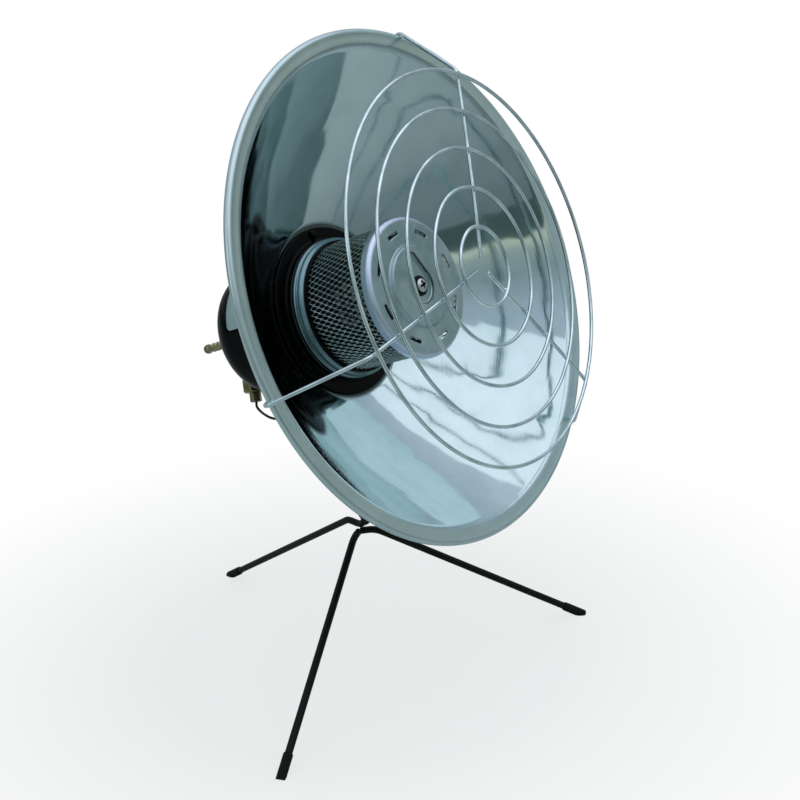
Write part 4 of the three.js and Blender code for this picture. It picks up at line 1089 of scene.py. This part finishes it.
def makeLead():
    # from the nut down in a loop, forward under the drum, through the dish's hole and back to the probe
    down = np.array([-math.sin(valve["turn"]), 0, -math.cos(valve["turn"])])
    nutEnd = np.array([0, valve["depth"], 0]) + down * 56.5
    floor = bowlDepth(dish["floor"])
    hole = lead["holeRadius"]
    angle = lead["probeAngle"]
    route = [
        nutEnd, nutEnd + down * 4, (-20, 196, -65.5), (-19, 188, -71), (-12, 177, -75), (8, 160, -77),
        (32, 140, -74), (54, 122, -62), polar(hole, angle, floor + 12), polar(hole, angle, bowlDepth(hole)),
        polar(hole - 2, angle, floor - 7), polar(71, angle, floor - 8.4), polar(64.4, angle, floor - 9),
        polar(lead["probeCircle"] + 0.4, angle, lead["probeBack"] + 5),
        polar(lead["probeCircle"], angle, lead["probeBack"] + 0.3),
    ]
    thing = tube("thermocoupleLead", smoothPath(route, 220), lead["radius"], blackSleeve, (0.35, 0.1, 0.93), 12)
    finishPiece(thing, "head", "black_sleeve", "thermocouple_lead")


makeLead()
print("lead done")


stand = {
    "rod": 3,
    "footCircle": 194.8,
    "turn": math.radians(49.2),
    "level": 14,
    "height": 112,
    "footHeight": 3.6,
}
standShift = np.array([0, head["hinge"][1] * 1000 + 21, 0])


def fromStand(points):
    # the stand's frame is the row frame, moved along Y to the post
    return (np.asarray(points) + standShift) * mm


def standPoint(radius, angle, height):
    # angle runs from the front towards +X
    return np.array([radius * math.sin(angle), -radius * math.cos(angle), height])


def makeLegs():
    # each rod runs level for a short way and then bends down to its foot; the rear leg stays as it is in the CAD
    for side, degrees in (("right", 0), ("left", 240)):
        angle = stand["turn"] + math.radians(degrees)
        corners = [standPoint(2.0, angle, stand["height"]),
                   standPoint(stand["level"], angle, stand["height"]),
                   standPoint(stand["footCircle"], angle, stand["footHeight"])]
        across = (math.cos(angle), math.sin(angle), 0)
        leg = tube(f"leg_{side}", bend(corners, 7), stand["rod"], blackPaint, across, 20, fromStand)
        finishPiece(leg, "stand", "black_paint", f"leg_{side}")


makeLegs()
print("legs done")


# CAD nodes that keep their own shape
kept = [
    (zincPlated, ["tie_nut", "diffuser", "floor_nut_1", "floor_nut_2", "floor_nut_3", "bracket_rivet_left",
                  "bracket_rivet_right", "thermocouple_probe", "probe_clip", "mixing_tube", "tilt_bolt",
                  "hinge_washer", "wing_nut"]),
    (turnedBrass, ["boss_nut", "injector"]),
    (blackPaint, ["head_bracket", "leg_rear"]),
    (bootRubber, ["boot_rear", "boot_left", "boot_right"]),
]
for finish, nodeNames in kept:
    for nodeName in nodeNames:
        frame["nodes"][nodeName].material_slots[0].material = finish
print("kept nodes painted")


# floor, light and camera
studio = {
    "floorSize": 40,
    "floorColor": (0.57, 0.62, 0.59),
    "frontColor": (0.30, 0.34, 0.33),
    "fadeStart": 0.18,
    "fadeEnd": 0.5,
    "nearWhite": 0.72,
    "skyStrength": 0.84,
    "lens": 62.917,
    "cameraPlace": (-0.836051, -0.695378, 0.622648),
    "cameraTurn": (69.9622, 2.36664, -53.5681),
}


def makeFloor():
    # seen by the camera, the floor fades from a half-shaded white round the feet to plain white
    material, tree, shader = newMaterial("floorWhite")
    shader.inputs["Roughness"].default_value = 0.9
    shader.inputs["Specular IOR Level"].default_value = 0.1
    place = tree.nodes.new("ShaderNodeSeparateXYZ")
    tree.links.new(objectVector(tree), place.inputs[0])
    forward = spread(tree, place.outputs["Y"], 1, 0, -1.1, -0.3)
    color = ramp(tree, forward, [(0, studio["floorColor"]), (1, studio["frontColor"])])
    tree.links.new(color, shader.inputs["Base Color"])
    lightPath = tree.nodes.new("ShaderNodeLightPath")
    away = tree.nodes.new("ShaderNodeVectorMath")
    away.operation = "LENGTH"
    tree.links.new(objectVector(tree), away.inputs[0])
    white = tree.nodes.new("ShaderNodeEmission")
    white.inputs["Strength"].default_value = 1
    far = spread(tree, away.outputs["Value"], studio["nearWhite"], 1, studio["fadeStart"], studio["fadeEnd"])
    mix = tree.nodes.new("ShaderNodeMixShader")
    tree.links.new(maths(tree, "MULTIPLY", lightPath.outputs["Is Camera Ray"], far), mix.inputs["Fac"])
    tree.links.new(shader.outputs["BSDF"], mix.inputs[1])
    tree.links.new(white.outputs["Emission"], mix.inputs[2])
    tree.links.new(mix.outputs["Shader"], tree.nodes["Material Output"].inputs["Surface"])
    corners = np.array([[-1, -1, 0], [1, -1, 0], [1, 1, 0], [-1, 1, 0]]) * studio["floorSize"]
    floor = meshObject("floor", corners, np.array([[0, 1, 2, 3]]), material, False)


def makeWorld():
    # open sky over a dim treeline: dark just above the floor, a warm band above that, then grey-blue that
    # brightens overhead
    world = bpy.data.worlds.new("studioDome")
    world.use_nodes = True
    tree = world.node_tree
    background = tree.nodes["Background"]
    direction = tree.nodes.new("ShaderNodeTexCoord").outputs["Generated"]
    parts = tree.nodes.new("ShaderNodeSeparateXYZ")
    tree.links.new(direction, parts.inputs[0])
    cloud = noise(tree, direction, 3.2, 4, 0.55)
    # the treeline stands higher on the -X side
    lift = spread(tree, parts.outputs[0], -0.12, 0, -0.25, 0.25)
    skyline = maths(tree, "ADD", spread(tree, cloud, -0.03, 0.03), lift)
    height = maths(tree, "ADD", parts.outputs[2], skyline)
    sky = ramp(tree, height, [(0.0, (0.09, 0.13, 0.13)), (0.045, (0.12, 0.17, 0.17)),
                              (0.07, (0.84, 0.84, 0.70)), (0.15, (0.50, 0.56, 0.54)),
                              (0.3, (0.38, 0.46, 0.50)), (0.55, (0.62, 0.70, 0.82)),
                              (0.85, (0.86, 0.89, 1.02))])
    tree.links.new(sky, background.inputs["Color"])
    background.inputs["Strength"].default_value = studio["skyStrength"]
    # the camera sees white behind the floor's edge
    backdrop = tree.nodes.new("ShaderNodeBackground")
    backdrop.inputs["Color"].default_value = (1, 1, 1, 1)
    mix = tree.nodes.new("ShaderNodeMixShader")
    tree.links.new(tree.nodes.new("ShaderNodeLightPath").outputs["Is Camera Ray"], mix.inputs["Fac"])
    tree.links.new(background.outputs["Background"], mix.inputs[1])
    tree.links.new(backdrop.outputs["Background"], mix.inputs[2])
    tree.links.new(mix.outputs["Shader"], tree.nodes["World Output"].inputs["Surface"])
    bpy.context.scene.world = world


def areaLight(name, place, target, size, power, color=(1, 1, 1)):
    # a rectangular lamp that faces its target
    data = bpy.data.lights.new(name, "AREA")
    data.shape = "RECTANGLE"
    data.size, data.size_y = size
    data.energy = power
    data.color = color
    lamp = bpy.data.objects.new(name, data)
    lamp.location = place
    lamp.rotation_euler = (Vector(target) - Vector(place)).to_track_quat("-Z", "Y").to_euler()
    bpy.context.scene.collection.objects.link(lamp)


def makeCamera():
    camera = bpy.data.cameras.new("camera")
    camera.sensor_width = 36
    camera.lens = studio["lens"]
    camera.clip_end = 100
    holder = bpy.data.objects.new("camera", camera)
    holder.location = studio["cameraPlace"]
    holder.rotation_euler = np.radians(studio["cameraTurn"])
    bpy.context.scene.collection.objects.link(holder)
    bpy.context.scene.camera = holder


makeFloor()
makeWorld()
areaLight("overhead", (0.3, -0.7, 2.4), (0, 0, 0.2), (3.0, 3.0), 14, (1.0, 0.98, 1.0))
areaLight("side", (-2.2, 0.6, 1.5), (0, 0, 0.3), (0.9, 1.2), 3.2)
makeCamera()
bpy.context.scene.view_settings.view_transform = "Standard"
print("studio ready")
